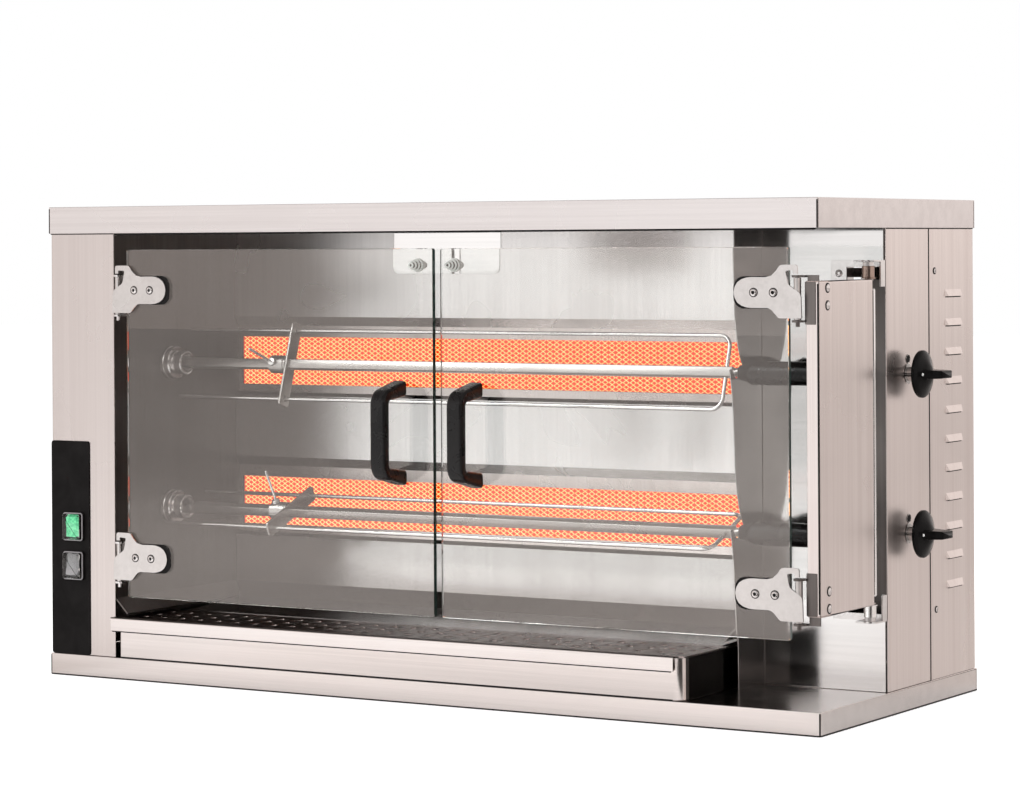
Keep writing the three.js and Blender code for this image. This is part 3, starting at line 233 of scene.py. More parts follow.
# Grain frequencies: long along one axis and fine across it, or even all round.
BRUSHED_X, BRUSHED_Z, ROLLED_X, ROLLED_Z = (3, 420, 420), (420, 420, 3), (3, 240, 240), (240, 240, 3)
MATT, SMOOTH = (160, 160, 160), (120, 120, 120)
METALS = {      # light tone, dark tone, roughness, grain, relief in millimetres
    "hood_steel": ((0.66, 0.615, 0.605), (0.61, 0.565, 0.555), 0.30, BRUSHED_X, 0.03),
    "brushed_steel": ((0.70, 0.63, 0.605), (0.64, 0.565, 0.54), 0.30, BRUSHED_Z, 0.03),
    "polished_steel": ((0.50, 0.48, 0.47), (0.45, 0.43, 0.42), 0.17, ROLLED_Z, 0.01),
    "tray_steel": ((0.66, 0.605, 0.585), (0.61, 0.555, 0.535), 0.19, BRUSHED_X, 0.02),
    "front_steel": ((0.585, 0.525, 0.505), (0.55, 0.49, 0.47), 0.30, BRUSHED_Z, 0.03),
    "recess_steel": ((0.63, 0.61, 0.60), (0.59, 0.57, 0.56), 0.10, ROLLED_X, 0.01),
    "low_steel": ((0.47, 0.45, 0.44), (0.43, 0.41, 0.40), 0.18, ROLLED_Z, 0.01),
    # A lighter steel that paints the upper back panels and the ceiling as lit.
    "back_steel": ((0.78, 0.75, 0.74), (0.73, 0.70, 0.69), 0.27, ROLLED_Z, 0.01),
    # Near-black steel that paints the shade on the drip tray's right-facing faces.
    "shaded_steel": ((0.05, 0.047, 0.045), (0.04, 0.037, 0.035), 0.22, ROLLED_X, 0.01),
    "grid_steel": ((0.38, 0.32, 0.305), (0.33, 0.28, 0.265), 0.26, MATT, 0.01),
    "mirror_steel": ((0.74, 0.72, 0.71), (0.70, 0.68, 0.67), 0.10, ROLLED_X, 0.01),
    "bright_steel": ((0.66, 0.63, 0.62), (0.60, 0.57, 0.56), 0.22, MATT, 0.01),
    # A dark steel that paints the shade on the chamber's left wall, the valves, the arm's hinge brackets and
    # leaves, the sheet behind the recess panel's window and the drip tray's top faces.
    "wall_steel": ((0.18, 0.16, 0.152), (0.15, 0.133, 0.126), 0.45, ROLLED_Z, 0.01),
    "spit_steel": ((0.50, 0.47, 0.45), (0.44, 0.41, 0.39), 0.30, (3, 300, 300), 0.02),
    "wire_steel": ((0.82, 0.80, 0.79), (0.76, 0.74, 0.73), 0.18, SMOOTH, 0.01),
    "hinge_steel": ((0.58, 0.545, 0.53), (0.53, 0.495, 0.48), 0.30, MATT, 0.02),
    "bush_bronze": ((0.44, 0.33, 0.28), (0.36, 0.26, 0.22), 0.3, (200, 200, 200), 0.01),
    "gas_brass": ((0.62, 0.46, 0.22), (0.52, 0.38, 0.17), 0.35, SMOOTH, 0.02),
}
MOULDINGS = {       # colour, roughness, coat, scale of the clouds, pebble in millimetres, gloss
    "panel_black": ((0.006, 0.005, 0.005), 0.40, 0.0, 30, 0, 0.07),
    "gloss_black": ((0.006, 0.005, 0.005), 0.28, 0.10, 30, 0.04, 0.16),
    "knob_black": ((0.004, 0.0035, 0.0035), 0.20, 0.0, 30, 0, 0.06),
    "pad_rubber": ((0.007, 0.006, 0.006), 0.6, 0.0, 30, 0, 0.15),
    "index_white": ((0.80, 0.79, 0.77), 0.4, 0.0, 30, 0, 0.5),
    "glass_edge": ((0.020, 0.045, 0.038), 0.25, 0.4, 30, 0, 0.5),
    "rocker_grey": ((0.27, 0.25, 0.26), 0.35, 0.3, 260, 0, 0.5),
    "bumper_rubber": ((0.62, 0.61, 0.58), 0.3, 0.6, 200, 0, 0.5),
    "motor_paint": ((0.06, 0.065, 0.07), 0.5, 0.0, 20, 0, 0.5),
}
GLASSES = {         # colour, index of refraction, tint of what it mirrors
    "door_glass": ((0.955, 0.96, 0.95), 1.68, (1.0, 0.88, 0.82)),
    "clear_boot": ((0.93, 0.93, 0.93), 1.42, (1, 1, 1)),
}
GLOWS = {           # colour, cooler and hotter light, strength, scale of the patches
    "rocker_green": ((0.05, 0.42, 0.18), (0.03, 0.36, 0.15), (0.25, 0.72, 0.42), 0.75, 300),
    "burner_ceramic": ((0.5, 0.01, 0.002), (0.85, 0.050, 0.0), (1.0, 0.085, 0.0), 0.66, 240),
    "burner_strand": ((0.9, 0.45, 0.2), (1.0, 0.50, 0.10), (1.0, 0.85, 0.40), 1.15, 420),
}
KINDS = ((sheet_steel, METALS), (moulded, MOULDINGS), (clear_glass, GLASSES), (glowing, GLOWS))
MATERIALS = {key: make(key, *look) for make, looks in KINDS for key, look in looks.items()}
NODES_OF_FINISH = {
    "hood_steel": ["hood"], "tray_steel": ["base_tray", "drip_tray"], "front_steel": ["left_housing"],
    # Painted light: these panels take the lighter steel.
    "back_steel": ["upper_back_panel", "middle_back_panel", "chamber_ceiling"],
    "recess_steel": ["recess_panel"], "low_steel": ["lower_back_panel"],
    "grid_steel": ["left_drip_grid", "right_drip_grid"],
    "mirror_steel": ["latch_plate"], "rocker_grey": ["lower_rocker"],
    # Painted shade: these take the dark steel.
    "wall_steel": ["chamber_left_wall", "upper_gas_valve", "lower_gas_valve",
                   "upper_arm_hinge_bracket", "lower_arm_hinge_bracket"],
    "hinge_steel": [f"{level}_{side}_hinge_plate" for level in LEVELS for side in SIDES]}
FINISH_OF_NODE = {node: finish for finish, nodes in NODES_OF_FINISH.items() for node in nodes}


def finish_cad_nodes():
    """Every solid takes the material of its slot in the record, or a closer one of its own."""
    for entry in frame["record"]["subparts"]:
        node = frame["nodes"][entry["node"]]
        chosen = MATERIALS[FINISH_OF_NODE.get(entry["node"], entry["material_slot"])]
        for place in node.material_slots:
            place.link = "OBJECT"
            place.material = chosen


# ---------------- studio
UNLIT_SIDE = (0.522, -0.853, 0.0)      # the studio's dark side, behind the camera
UNLIT_FLOOR = (0.766, -0.643, 0.0)     # where the shade painted on what metal mirrors of the floor is deepest, further round to the right
SCREEN_SIDE = (-0.30, -0.954, 0.0)     # the bright screen in front of the doors, to their left


def studio_tone(shader, direction, unlit_side, unlit, plain, screen, screen_start):
    """Colour of the studio in one direction: plain, brighter at the screen, dark above and on the unlit side.

    unlit says how closely a direction points at that side where the dark starts, and where it is full."""
    unit = shader.vector("NORMALIZE", shader.vector("MULTIPLY", direction, (1, 1, 0)))
    facing = shader.vector("DOT_PRODUCT", unit, unlit_side, "Value")
    up = shader.add("ShaderNodeSeparateXYZ", {0: direction}).outputs["Z"]
    lobe = shader.math("MAXIMUM", shader.spread(facing, *unlit, 1.0, 0.03),
                       shader.spread(up, 0.22, 0.40, 0.0, 1.0))
    dark = shader.math("MULTIPLY", lobe, shader.spread(up, 0.30, 0.80, 1.0, 0.30))
    near = shader.vector("DOT_PRODUCT", unit, SCREEN_SIDE, "Value")
    share = shader.spread(near, screen_start, 0.995, 0.0, 1.0)
    warm = (plain, plain * 0.93, plain * 0.895, 1)
    return shader.blend(1.0, shader.blend(share, warm, (screen, screen, screen, 1)), dark, "MULTIPLY")


def build_world():
    """White where it is seen straight on; metal and glass mirror the studio's dark side and bright screen."""
    world = bpy.data.worlds.new("studio")
    world.use_nodes = True
    world.node_tree.nodes.clear()
    shader = Shader(world.node_tree)
    direction = shader.add("ShaderNodeTexCoord").outputs["Generated"]
    tone = studio_tone(shader, direction, UNLIT_SIDE, (0.80, 0.97), 1.16, 1.40, 0.88)
    plain = shader.blend(shader.ray("Glossy", "Transmission"), (0.55, 0.545, 0.54, 1), tone)
    seen = shader.blend(shader.ray("Camera"), plain, (1, 1, 1, 1))
    back = shader.add("ShaderNodeBackground", {"Color": seen, "Strength": 1.0})
    shader.add("ShaderNodeOutputWorld", {"Surface": back})
    scene.world = world


def build_floor():
    """Pale floor: mostly its own white where it is seen, the rest lit, so that the shadow stays soft; what metal
    and glass mirror of it has painted shade, darker just in front of the oven and on the unlit side.
    """
    mesh = bpy.data.meshes.new("studio_floor")
    size, level = 14.0, -0.5 * MM
    mesh.from_pydata([(-size, -size, level), (size, -size, level), (size, size, level), (-size, size, level)],
                     [], [(0, 1, 2, 3)])
    floor = bpy.data.objects.new("studio_floor", mesh)
    scene.collection.objects.link(floor)
    material, shader, body, out = new_material("studio_floor", Roughness=0.9, Specular_IOR_Level=0.0)
    place = shader.place()
    reach = shader.vector("LENGTH", place, result="Value")
    y = shader.add("ShaderNodeSeparateXYZ", {0: place}).outputs["Y"]
    # Painted shade: what metal mirrors of the floor darkens towards the oven's front.
    ahead = shader.spread(y, -0.32, -0.12, 0.92, 0.58)
    close = shader.blend(1.0, (1, 0.98, 0.97, 1), ahead, "MULTIPLY")
    # Painted light and shade: further off, that mirrored tone is brighter towards the screen and darker on the
    # unlit side.
    far = studio_tone(shader, place, UNLIT_FLOOR, (0.951, 0.970), 0.58, 0.96, 0.50)
    tone = shader.blend(shader.spread(reach, 0.58, 0.66, 0.0, 1.0), close, far)
    mirrored = shader.ray("Glossy", "Transmission")
    colour = shader.blend(mirrored, (1, 1, 1, 1), tone)
    shader.put(body.inputs["Base Color"], shader.blend(0.8, (0, 0, 0, 1), colour))
    seen = shader.math("MAXIMUM", mirrored, shader.ray("Camera"))
    strength = shader.math("MULTIPLY", seen, 0.62)
    glow = shader.add("ShaderNodeEmission", {"Color": colour, "Strength": strength})
    shader.put(out.inputs["Surface"], shader.add("ShaderNodeAddShader", {0: body, 1: glow}))
    mesh.materials.append(material)


def lamp(name, place, target, size, power):
    """Softbox aimed at target, which metal and glass don't mirror."""
    data = bpy.data.lights.new(name, "AREA")
    data.shape, data.size, data.size_y, data.energy = "RECTANGLE", size[0], size[1], power
    light = bpy.data.objects.new(name, data)
    light.location = place
    light.rotation_euler = (Vector(target) - Vector(place)).to_track_quat("-Z", "Y").to_euler()
    light.visible_glossy = False
    scene.collection.objects.link(light)


def light_studio():
    """Key from the left in front, a wide one overhead and a fill from the right."""
    lamp("key", (-1.6, -2.2, 2.6), (0, 0, 0.25), (2.2, 1.6), 55)
    lamp("overhead", (0.3, 0.4, 2.9), (0, 0, 0.3), (2.6, 2.0), 36)
    lamp("fill", (2.8, -0.6, 1.6), (0.1, 0, 0.3), (1.6, 1.6), 20)


place_camera()
build_world()
build_floor()
light_studio()
finish_cad_nodes()


# ---------------- surfaces worked out on grids, all in millimetres until piece() goes back to metres
def corners_of(node):
    """Lowest and highest corner of a solid's box, in millimetres."""
    return tuple(np.array(corner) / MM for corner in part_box(node))


def unit(vectors):
    """Every row at length 1."""
    return vectors / np.linalg.norm(vectors, axis=1)[:, None]


def span_faces(rows, columns):
    """Quads of a tube of rows by columns of points, whose last column joins the first."""
    row, column = np.meshgrid(np.arange(rows - 1), np.arange(columns), indexing="ij")
    after = (column + 1) % columns
    return np.stack([row * columns + column, row * columns + after,
                     (row + 1) * columns + after, (row + 1) * columns + column], axis=-1).reshape(-1, 4)


def end_caps(rows, columns):
    """One face over the first row of a tube, turned round, and one over its last."""
    return np.stack([np.arange(columns)[::-1], np.arange(columns) + columns * (rows - 1)])


def copies(points, faces):
    """One surface many times over: points[n] are the points of copy n, and faces are those of the first."""
    start = np.arange(len(points)) * (points[0].size // 3)
    return points.reshape(-1, 3), (faces[None] + start[:, None, None]).reshape(-1, 4)


def frame_of(axis):
    """Three unit vectors: one along the axis and two across it, right-handed."""
    along = np.array(axis, float) / np.linalg.norm(axis)
    side = np.cross(UP if abs(along[2]) < 0.9 else RIGHT, along)
    side /= np.linalg.norm(side)
    return along, side, np.cross(along, side)


def lathe(profile, place, axis, columns):
    """Points at place + axis * distance + radius * (cos a * side + sin a * up), per (radius, distance)."""
    radius, distance = np.array(profile, float).T
    along, side, up = frame_of(axis)
    angle = np.linspace(0, 2 * np.pi, columns, endpoint=False)
    circle = np.cos(angle)[:, None] * side + np.sin(angle)[:, None] * up
    points = place + distance[:, None, None] * along + radius[:, None, None] * circle
    return points.reshape(-1, 3), span_faces(len(profile), columns)


def ring(place, axis, columns, *section):
    """A section of (radius, distance) pairs, closed on itself and turned about the axis."""
    return lathe([*section, section[0]], place, axis, columns)


def corner_arcs(here, back, ahead, radius, steps):
    """Arcs of that radius at corners here, between the unit vectors back and ahead.

    With s = sin(half the corner's angle), each is ((1-t)^2 start + 2 t (1-t) s here + t^2 end) / weight."""
    half = np.arccos(np.clip((back * ahead).sum(1), -1, 1)) / 2
    reach = (radius / np.tan(half))[:, None]
    start, end = (here + back * reach)[:, None], (here + ahead * reach)[:, None]
    t, bulge = np.linspace(0, 1, steps)[None, :, None], np.sin(half)[:, None, None]
    weight = (1 - t) ** 2 + t ** 2 + 2 * t * (1 - t) * bulge
    return ((1 - t) ** 2 * start + t ** 2 * end + 2 * t * (1 - t) * bulge * here[:, None]) / weight


def rounded_box(low, high, radius, steps=6):
    """Outline of the rectangle from low to high, with an arc of that radius at each corner."""
    here = np.array([(low[0], low[1]), (high[0], low[1]), (high[0], high[1]), (low[0], high[1])], float)
    back, ahead = unit(np.roll(here, 1, 0) - here), unit(np.roll(here, -1, 0) - here)
    return corner_arcs(here, back, ahead, radius, steps).reshape(-1, 2)


def slab(outline, profile, place, axis, side):
    """A capped plate: the outline, moved inwards by inset at each (inset, distance) along the axis.

    Its first direction is side, and its second is axis x side."""
    edge = np.array(outline, float)
    after = np.roll(edge, -1, 0)
    away = after - np.roll(edge, 1, 0)
    normal = np.stack([away[:, 1], -away[:, 0]], 1)
    normal /= np.maximum(np.linalg.norm(normal, axis=1), 1e-12)[:, None]
    turn = np.sign((edge[:, 0] * after[:, 1] - after[:, 0] * edge[:, 1]).sum())
    inset, distance = np.array(profile, float).T
    flat = edge[None] - turn * inset[:, None, None] * normal[None]
    along, first = np.array(axis, float), np.array(side, float)
    second = np.cross(along, first)
    points = place + flat[..., :1] * first + flat[..., 1:] * second + distance[:, None, None] * along
    return points.reshape(-1, 3), span_faces(len(profile), len(edge)), end_caps(len(profile), len(edge))


def soft_edge(low, high, edge):
    """Profile of a plate from low to high, with its edges rounded by edge."""
    angle = np.linspace(0, np.pi / 2, 4)
    start = np.stack([edge * (1 - np.sin(angle)), low + edge * (1 - np.cos(angle))], 1)
    end = np.stack([edge * (1 - np.cos(angle)), high - edge * (1 - np.sin(angle))], 1)
    return np.vstack([start, end])


def bent_path(corners, radius, steps=8):
    """A line through 3-D corners with an arc of that radius at each inner one."""
    corner = np.array(corners, float)
    here = corner[1:-1]
    arcs = corner_arcs(here, unit(corner[:-2] - here), unit(corner[2:] - here), radius, steps)
    return np.vstack([corner[:1], arcs.reshape(-1, 3), corner[-1:]])


def straight(start, end):
    """Four points evenly along a line, as a path for sweep."""
    return np.array(start) + np.linspace(0, 1, 4)[:, None] * (np.array(end) - np.array(start))


def sweep(path, radius, across, columns=12, ends=True):
    """A round wire along a path that lies roughly in the plane square to across; its ends are domed."""
    line = np.array(path, float)
    tangent = unit(np.gradient(line, axis=0))
    side = unit(np.cross(np.array(across, float), tangent))
    up = np.cross(tangent, side)
    size = np.ones(len(line))
    if ends:
        angle = np.linspace(0, np.pi / 2, 4)
        first = line[0] - tangent[0] * radius * np.cos(angle)[:, None]
        last = line[-1] + tangent[-1] * radius * np.sin(angle)[:, None]
        size = np.concatenate([np.sin(angle), size[1:-1], np.cos(angle)])
        line = np.vstack([first, line[1:-1], last])
        side, up = (np.vstack([np.repeat(way[:1], 4, 0), way[1:-1], np.repeat(way[-1:], 4, 0)])
                    for way in (side, up))
    angle = np.linspace(0, 2 * np.pi, columns, endpoint=False)
    circle = np.cos(angle)[None, :, None] * side[:, None] + np.sin(angle)[None, :, None] * up[:, None]
    points = line[:, None] + radius * size[:, None, None] * circle
    return points.reshape(-1, 3), span_faces(len(line), columns)


def piece(name, parts, material, body, replaces=(), crease=35):
    """Puts surfaces into one mesh in metres, closes seams and poles, turns faces outwards and dresses it."""
    points, faces, base = [], [], 0
    for surface, *blocks in parts:
        points.append(surface)
        for block in blocks:
            faces += (block + base).tolist()
        base += len(surface)
    mesh = bpy.data.meshes.new(name)
    mesh.from_pydata((np.vstack(points) * MM).tolist(), [], faces)
    work = bmesh.new()
    work.from_mesh(mesh)
    bmesh.ops.remove_doubles(work, verts=work.verts, dist=2e-6)
    bmesh.ops.recalc_face_normals(work, faces=work.faces)
    work.to_mesh(mesh)
    work.free()
    return dress(name, mesh, material, body, replaces, crease)


def dress(name, mesh, material, body, replaces, crease):
    """Material, smooth shading up to the crease angle, and the piece's place in the moving model."""
    mesh.materials.clear()
    mesh.materials.append(MATERIALS[material])
    mesh.polygons.foreach_set("use_smooth", np.ones(len(mesh.polygons), bool))
    mesh.set_sharp_from_angle(angle=math.radians(crease))
    thing = bpy.data.objects.new(name, mesh)
    scene.collection.objects.link(thing)
    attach(thing, body)
    if replaces:
        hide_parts(*replaces)
    return thing


AXIS = {joint["name"]: np.array(joint["axis"], float) for joint in frame["joints"]}
PIVOT = {joint["name"]: np.array(joint["pos_m"]) / MM for joint in frame["joints"] if "pos_m" in joint}
RECORD_SLOT = {entry["node"]: entry["material_slot"] for entry in frame["record"]["subparts"]}
BODY_OF = {node: body for body, nodes in frame["record"]["behaviour"]["bodies"].items() for node in nodes}
PANEL_FACE = corners_of("knob_panel")[1][0]     # where the knobs' necks leave the side


# ---------------- folded sheets
TRAY_NODES = ["base_tray", "hood"]     # slit corners leave room for a tight fold only
SHEET_NODES = ["left_housing", "control_panel", "spit_support_plate", "swing_arm", "drip_tray",
               "recess_panel", "knob_panel", "rear_cover"]
BRACKETS = ["left_hinge_bracket", "left_hinge_plate", "right_hinge_plate", "arm_hinge_bracket", "arm_bracket",
            "switch_housing", "rocker"]


def weigh_folds(work, cut):
    """Bevel weights: 1 outside a fold between wide faces, half by a narrow one, and cut on other edges.

    A face's width is twice its area over its perimeter."""
    wide, narrow = 5 * MM, 2.5 * MM
    weight = work.edges.layers.float.new("bevel_weight_edge")
    for edge in work.edges:
        if len(edge.link_faces) == 2 and edge.calc_face_angle(0) > math.radians(30):
            width = min(2 * face.calc_area() / face.calc_perimeter() for face in edge.link_faces)
            edge[weight] = (1.0 if width > wide else 0.5) if edge.is_convex and width > narrow else cut


def softened(node, width, cut=1.0, steps=2):
    """The solid's own shape: every folded edge is rounded to width, and every cut edge to a share of that."""
    mesh = frame["nodes"][node].data.copy()
    work = bmesh.new()
    work.from_mesh(mesh)
    bmesh.ops.remove_doubles(work, verts=work.verts, dist=5e-6)
    bmesh.ops.dissolve_limit(work, angle_limit=math.radians(0.5), verts=work.verts, edges=work.edges)
    weigh_folds(work, cut)
    bmesh.ops.triangulate(work, faces=[face for face in work.faces if len(face.verts) > 4])
    work.to_mesh(mesh)
    work.free()
    finish = FINISH_OF_NODE.get(node, RECORD_SLOT[node])
    thing = dress(node + "_finish", mesh, finish, BODY_OF[node], [node], 30)
    edge = thing.modifiers.new("Soft edges", "BEVEL")
    edge.width, edge.segments, edge.limit_method = width * MM, steps, "WEIGHT"
    edge.use_clamp_overlap = cut == 1.0
    if cut < 1.0:
        edge.harden_normals = True
    else:
        even = thing.modifiers.new("Even shading", "WEIGHTED_NORMAL")
        even.keep_sharp = False


def shade_faces(node, direction, finish):
    """Faces that point one way take a darker steel, which paints shade on them."""
    mesh = bpy.data.objects[node + "_finish"].data
    mesh.materials.append(MATERIALS[finish])
    for face in mesh.polygons:
        if face.normal.dot(Vector(direction)) > 0.9:
            face.material_index = len(mesh.materials) - 1


# ---------------- fastenings
SCREW = [(0, 0.35), (0.36, 0.35), (0.45, 0.9), (0.5175, 1), (0.75, 0.86), (0.94, 0.5), (1, 0.12), (1, 0),
         (0, 0)]      # a head whose radius and rise are 1


def screw_head(place, axis, radius, rise):
    """Domed screw head with a round hollow in its middle."""
    return lathe(np.array(SCREW) * (radius, rise), place, axis, 24)


def rivet_head(place, axis, radius, rise):
    """Dome of (radius * sin a, rise * cos a) for a from 0 to a right angle, closed underneath."""
    angle = np.linspace(0, np.pi / 2, 7)
    dome = np.stack([np.sin(angle), np.cos(angle)], 1) * (radius, rise)
    return lathe([*dome, (0, 0)], place, axis, 24)


def oval_ring(place, axis, columns, middle, half, steps):
    """A ring whose section is middle + half * (cos a, sin a), drawn in that many steps."""
    angle = np.linspace(0, 2 * np.pi, steps)
    return lathe(middle + half * np.stack([np.cos(angle), np.sin(angle)], 1), place, axis, columns)


# ---------------- doors
def door_handle(side):
    """Bow handle: a rounded section carried along a bent line, flat at the grip and deeper at its feet.

    The section is a superellipse |x / a|^n + |y / b|^n = 1 with n = 2 / blunt, square to the bow's line."""
    node = f"{side}_door_handle"
    low, high = corners_of(node)
    back, front = high[1], low[1]
    middle, thin, columns = (low[0] + high[0]) / 2, 6.2, 40
    foot, bend, blunt = 9.5, 17.5, 0.42
    corners = [(middle, back, high[2] - foot), (middle, front + thin, high[2] - bend),
               (middle, front + thin, low[2] + bend), (middle, back, low[2] + foot)]
    line = bent_path(corners, 12.5, 10)
    line = np.vstack([line[:1], (line[:1] + line[1:2]) / 2, line[1:-1],
                      (line[-1:] + line[-2:-1]) / 2, line[-1:]])
    across = np.array(RIGHT, float)
    thick = np.cross(unit(np.gradient(line, axis=0)), across)
    depth = thin + 3.3 * np.clip((line[:, 1] - front) / (back - front), 0, 1)
    angle = np.linspace(0, 2 * np.pi, columns, endpoint=False)
    wide, deep = (np.sign(wave) * np.abs(wave) ** blunt for wave in (np.cos(angle), np.sin(angle)))
    points = line[:, None] + (wide * (high[0] - low[0]) / 2)[None, :, None] * across \
        + (deep[None, :] * depth[:, None])[..., None] * thick[:, None]
    points[[0, -1], :, 1] = back
    bow = points.reshape(-1, 3), span_faces(len(line), columns), end_caps(len(line), columns)
    piece(f"{side}_door_handle_bow", [bow], "gloss_black", f"{side}_door", [node], 50)


def door_glass(side):
    """Toughened glass with ground edges: a plate whose edges are eased by a small chamfer."""
    low, high = corners_of(f"{side}_door_glass")
    half, ease = (high - low) / 2, 0.7
    profile = [(ease, -half[1]), (0, ease - half[1]), (0, half[1] - ease), (ease, half[1])]
    plate = slab(rounded_box(-half[[0, 2]], half[[0, 2]], 3), profile, (low + high) / 2, FRONT, RIGHT)
    pane = piece(f"{side}_glass_pane", [plate], "door_glass", f"{side}_door",
                 [f"{side}_door_glass"], 20)
    pane.data.materials.append(MATERIALS["glass_edge"])
    normals = np.empty(3 * len(pane.data.polygons))
    pane.data.polygons.foreach_get("normal", normals)
    pane.data.polygons.foreach_set("material_index", (np.abs(normals[1::3]) < 0.5).astype(np.int32))


def hinge_fittings(level, side):
    """Two screws and nuts through each hinge plate, dark rings and discs that paint the shadow round and inside
    the screw heads, and black pads on both sides of the glass.
    """
    low, high = corners_of(f"{level}_{side}_hinge_plate")
    pin, body = PIVOT[f"{side}_door_hinge"][0], f"{side}_door"
    towards = 1 if side == "left" else -1
    line = high[2] - 31.3
    fronts, backs = ([(pin + towards * reach, y, line) for reach in (28.3, 53.1)] for y in (low[1], high[1]))
    heads = [screw_head(place, FRONT, 4.6, 1.7) for place in fronts]
    nuts = [rivet_head(place, BACK, 4.6, 3.0) for place in backs]
    piece(f"{level}_{side}_hinge_screws", heads + nuts, "bright_steel", body)
    first, last = sorted((pin + towards * 19.5, pin + towards * 81.2))
    outline = rounded_box((first, line - 18.2), (last, line + 18.2), 13, 10)
    glass_low, glass_high = corners_of(f"{side}_door_glass")
    gap, thick = 0.03, 0.24
    pads = [slab(outline + (shift, 0), [(0, start), (0, start + thick)], (0, 0, 0), FRONT, RIGHT)
            for shift, start in ((0, -glass_high[1] - gap - thick), (1.6, gap - glass_low[1]))]
    # Painted shadow: dark rings round the screw heads and dark discs in their hollows.
    shadow_rings = [ring(place, FRONT, 28, (4.5, 0), (5.4, 0), (5.4, 0.3), (4.5, 0.3)) for place in fronts]
    hollow_shades = [lathe([(0, 0.5), (1.8, 0.5), (1.8, 0.7), (0, 0.7)], place, FRONT, 16) for place in fronts]
    piece(f"{level}_{side}_hinge_pad", [*pads, *shadow_rings, *hollow_shades], "pad_rubber", body,
          crease=30)


def bumper(side):
    """Ribbed bumper turned about Y: four pale ribs, which widen towards the back, on a dark core that paints the
    shade in the grooves between them.
    """
    low, high = corners_of(f"{side}_bumper")
    tip = low[1] + 4
    place = ((low[0] + high[0]) / 2, tip, (low[2] + high[2]) / 2)
    back, end = corners_of("latch_plate")[0][1] - tip - 0.3, high[1] - tip
    # Painted shade: the core is dark so that the grooves between the ribs look shaded.
    core = [(0, 0.6), (1.7, 0.3), (2.4, 0.8), (5.2, back - 0.4), (5.2, back), (2.5, back), (2.5, end - 0.6),
            (1.9, end), (0, end)]
    piece(f"{side}_bumper_shaded_core", [lathe(core, place, BACK, 40)], "pad_rubber", "cabinet",
          [f"{side}_bumper"], 40)
    ribs = [oval_ring(place, BACK, 36, (2.6 + 5 * share, back * share), (1.2, 1.0), 13)
            for share in (0.03, 0.34, 0.65, 0.94)]
    piece(f"{side}_bumper_ribs", ribs, "index_white", "cabinet", crease=60)


# ---------------- gas knobs
SKIRT_BACK = 540.4     # where the knobs' skirts start


def knob(level):
    """Gas knob: a flared skirt turned about X, and a tapered grip bar with soft edges across it."""
    low, high = corners_of(f"{level}_knob")
    place = (SKIRT_BACK, (low[1] + high[1]) / 2, (low[2] + high[2]) / 2)
    wide, end = (high[1] - low[1]) / 2, high[0] - SKIRT_BACK
    skirt = [(0, 0), (wide - 0.6, 0), (wide, 0.8), (wide, 3.5), (wide - 1.2, 5.0), (wide - 5.0, 6.6),
             (wide - 10, 8.6), (12.5, 11.2), (8.5, 13.0), (0, 13.4)]
    grip = [(-0.6, 4), (0, 8), (1.1, 20), (1.7, end - 1.2), (2.1, end - 0.4), (2.9, end)]
    stem = [(0, -50), (4, -50), (4, 2), (0, 2)]
    bar = rounded_box((-15.8, -6.2), (15.8, 6.2), 2.8)
    piece(f"{level}_knob_grip", [lathe(skirt, place, RIGHT, 64), slab(bar, grip, place, RIGHT, BACK),
                                 lathe(stem, place, RIGHT, 20)],
          "knob_black", f"{level}_knob_body", [f"{level}_knob"])


def knob_fittings(level):
    """Collar and sleeve round the knob's neck, the index hole above with its rim, and the skirt's dot."""
    _, y, z = PIVOT[f"{level}_knob_turn"]
    neck = np.array((PANEL_FACE, y, z))
    hole = neck + (0, 1, 17.7)
    collar = ring(neck, RIGHT, 40, (8.3, 0), (12.2, 0), (12.2, 0.9), (11.4, 1.5), (8.3, 1.5))
    rim = oval_ring(hole, RIGHT, 36, (4.9, 0.3), (0.6, 0.6), 9)
    sleeve = ring(neck, RIGHT, 40, (8.2, 0.6), (8.4, 0.6), (8.4, 9.0), (9.0, 9.4), (9.0, 15.0), (8.2, 15.4))
    piece(f"{level}_neck_collar", [collar, rim, sleeve], "polished_steel", "cabinet")
    disc = lathe([(0, 0.2), (4.5, 0.2), (4.5, 0), (0, 0)], hole, RIGHT, 32)
    piece(f"{level}_index_hole", [disc], "pad_rubber", "cabinet")
    dot = lathe([(0, 0.5), (1.2, 0.5), (1.7, 0.1), (1.7, -0.8), (0, -0.8)],
                (SKIRT_BACK + 9.6, y - 16.1, z), (0.15, -0.99, 0), 20)
    piece(f"{level}_knob_dot", [dot], "index_white", f"{level}_knob_body")


# ---------------- burners
def burner_mesh(level):
    """Expanded metal over the glowing face: zigzag strands and their mirror images.

    A strand's x = (strand + 0.5 + swing) * step, where swing is 0.43 to one side and to the other in turn."""
    low, high = corners_of(f"{level}_burner_plaque")
    pitch, rise, margin = 10.2, 5.8, 2
    rows = int(round((high[2] - low[2]) / rise)) + 1
    strands = int((high[0] - low[0]) / pitch) + 1
    step = (high[0] - low[0] - 2 * margin) / strands
    swing = (np.arange(rows) % 2 - 0.5) * 0.86
    section = np.array([(-0.4, 0.7, 0), (0.4, 0.7, 0), (0.28, -0.7, 0), (-0.28, -0.7, 0)])
    faces = np.vstack([span_faces(rows, 4), end_caps(rows, 4)])
    parts = []
    for way in (1, -1):
        x = low[0] + margin + (np.arange(strands)[:, None] + 0.5 + way * swing) * step
        z = np.broadcast_to(np.linspace(low[2], high[2], rows), x.shape)
        line = np.stack([x, np.full_like(x, low[1] - 1.2), z], -1)
        parts.append(copies(line[:, :, None] + section, faces))
    piece(f"{level}_burner_mesh", parts, "burner_strand", "cabinet", crease=20)


# ---------------- spits
def spit_frame(level):
    """The point of the spit's axis at x = 0, and unit vectors along it, back across it and up its fork."""
    along, back = np.array(RIGHT, float), -AXIS[f"{level}_thumb_screw_turn"]
    return PIVOT[f"{level}_spit_turn"] * (0, 1, 1), along, back, np.cross(along, back)


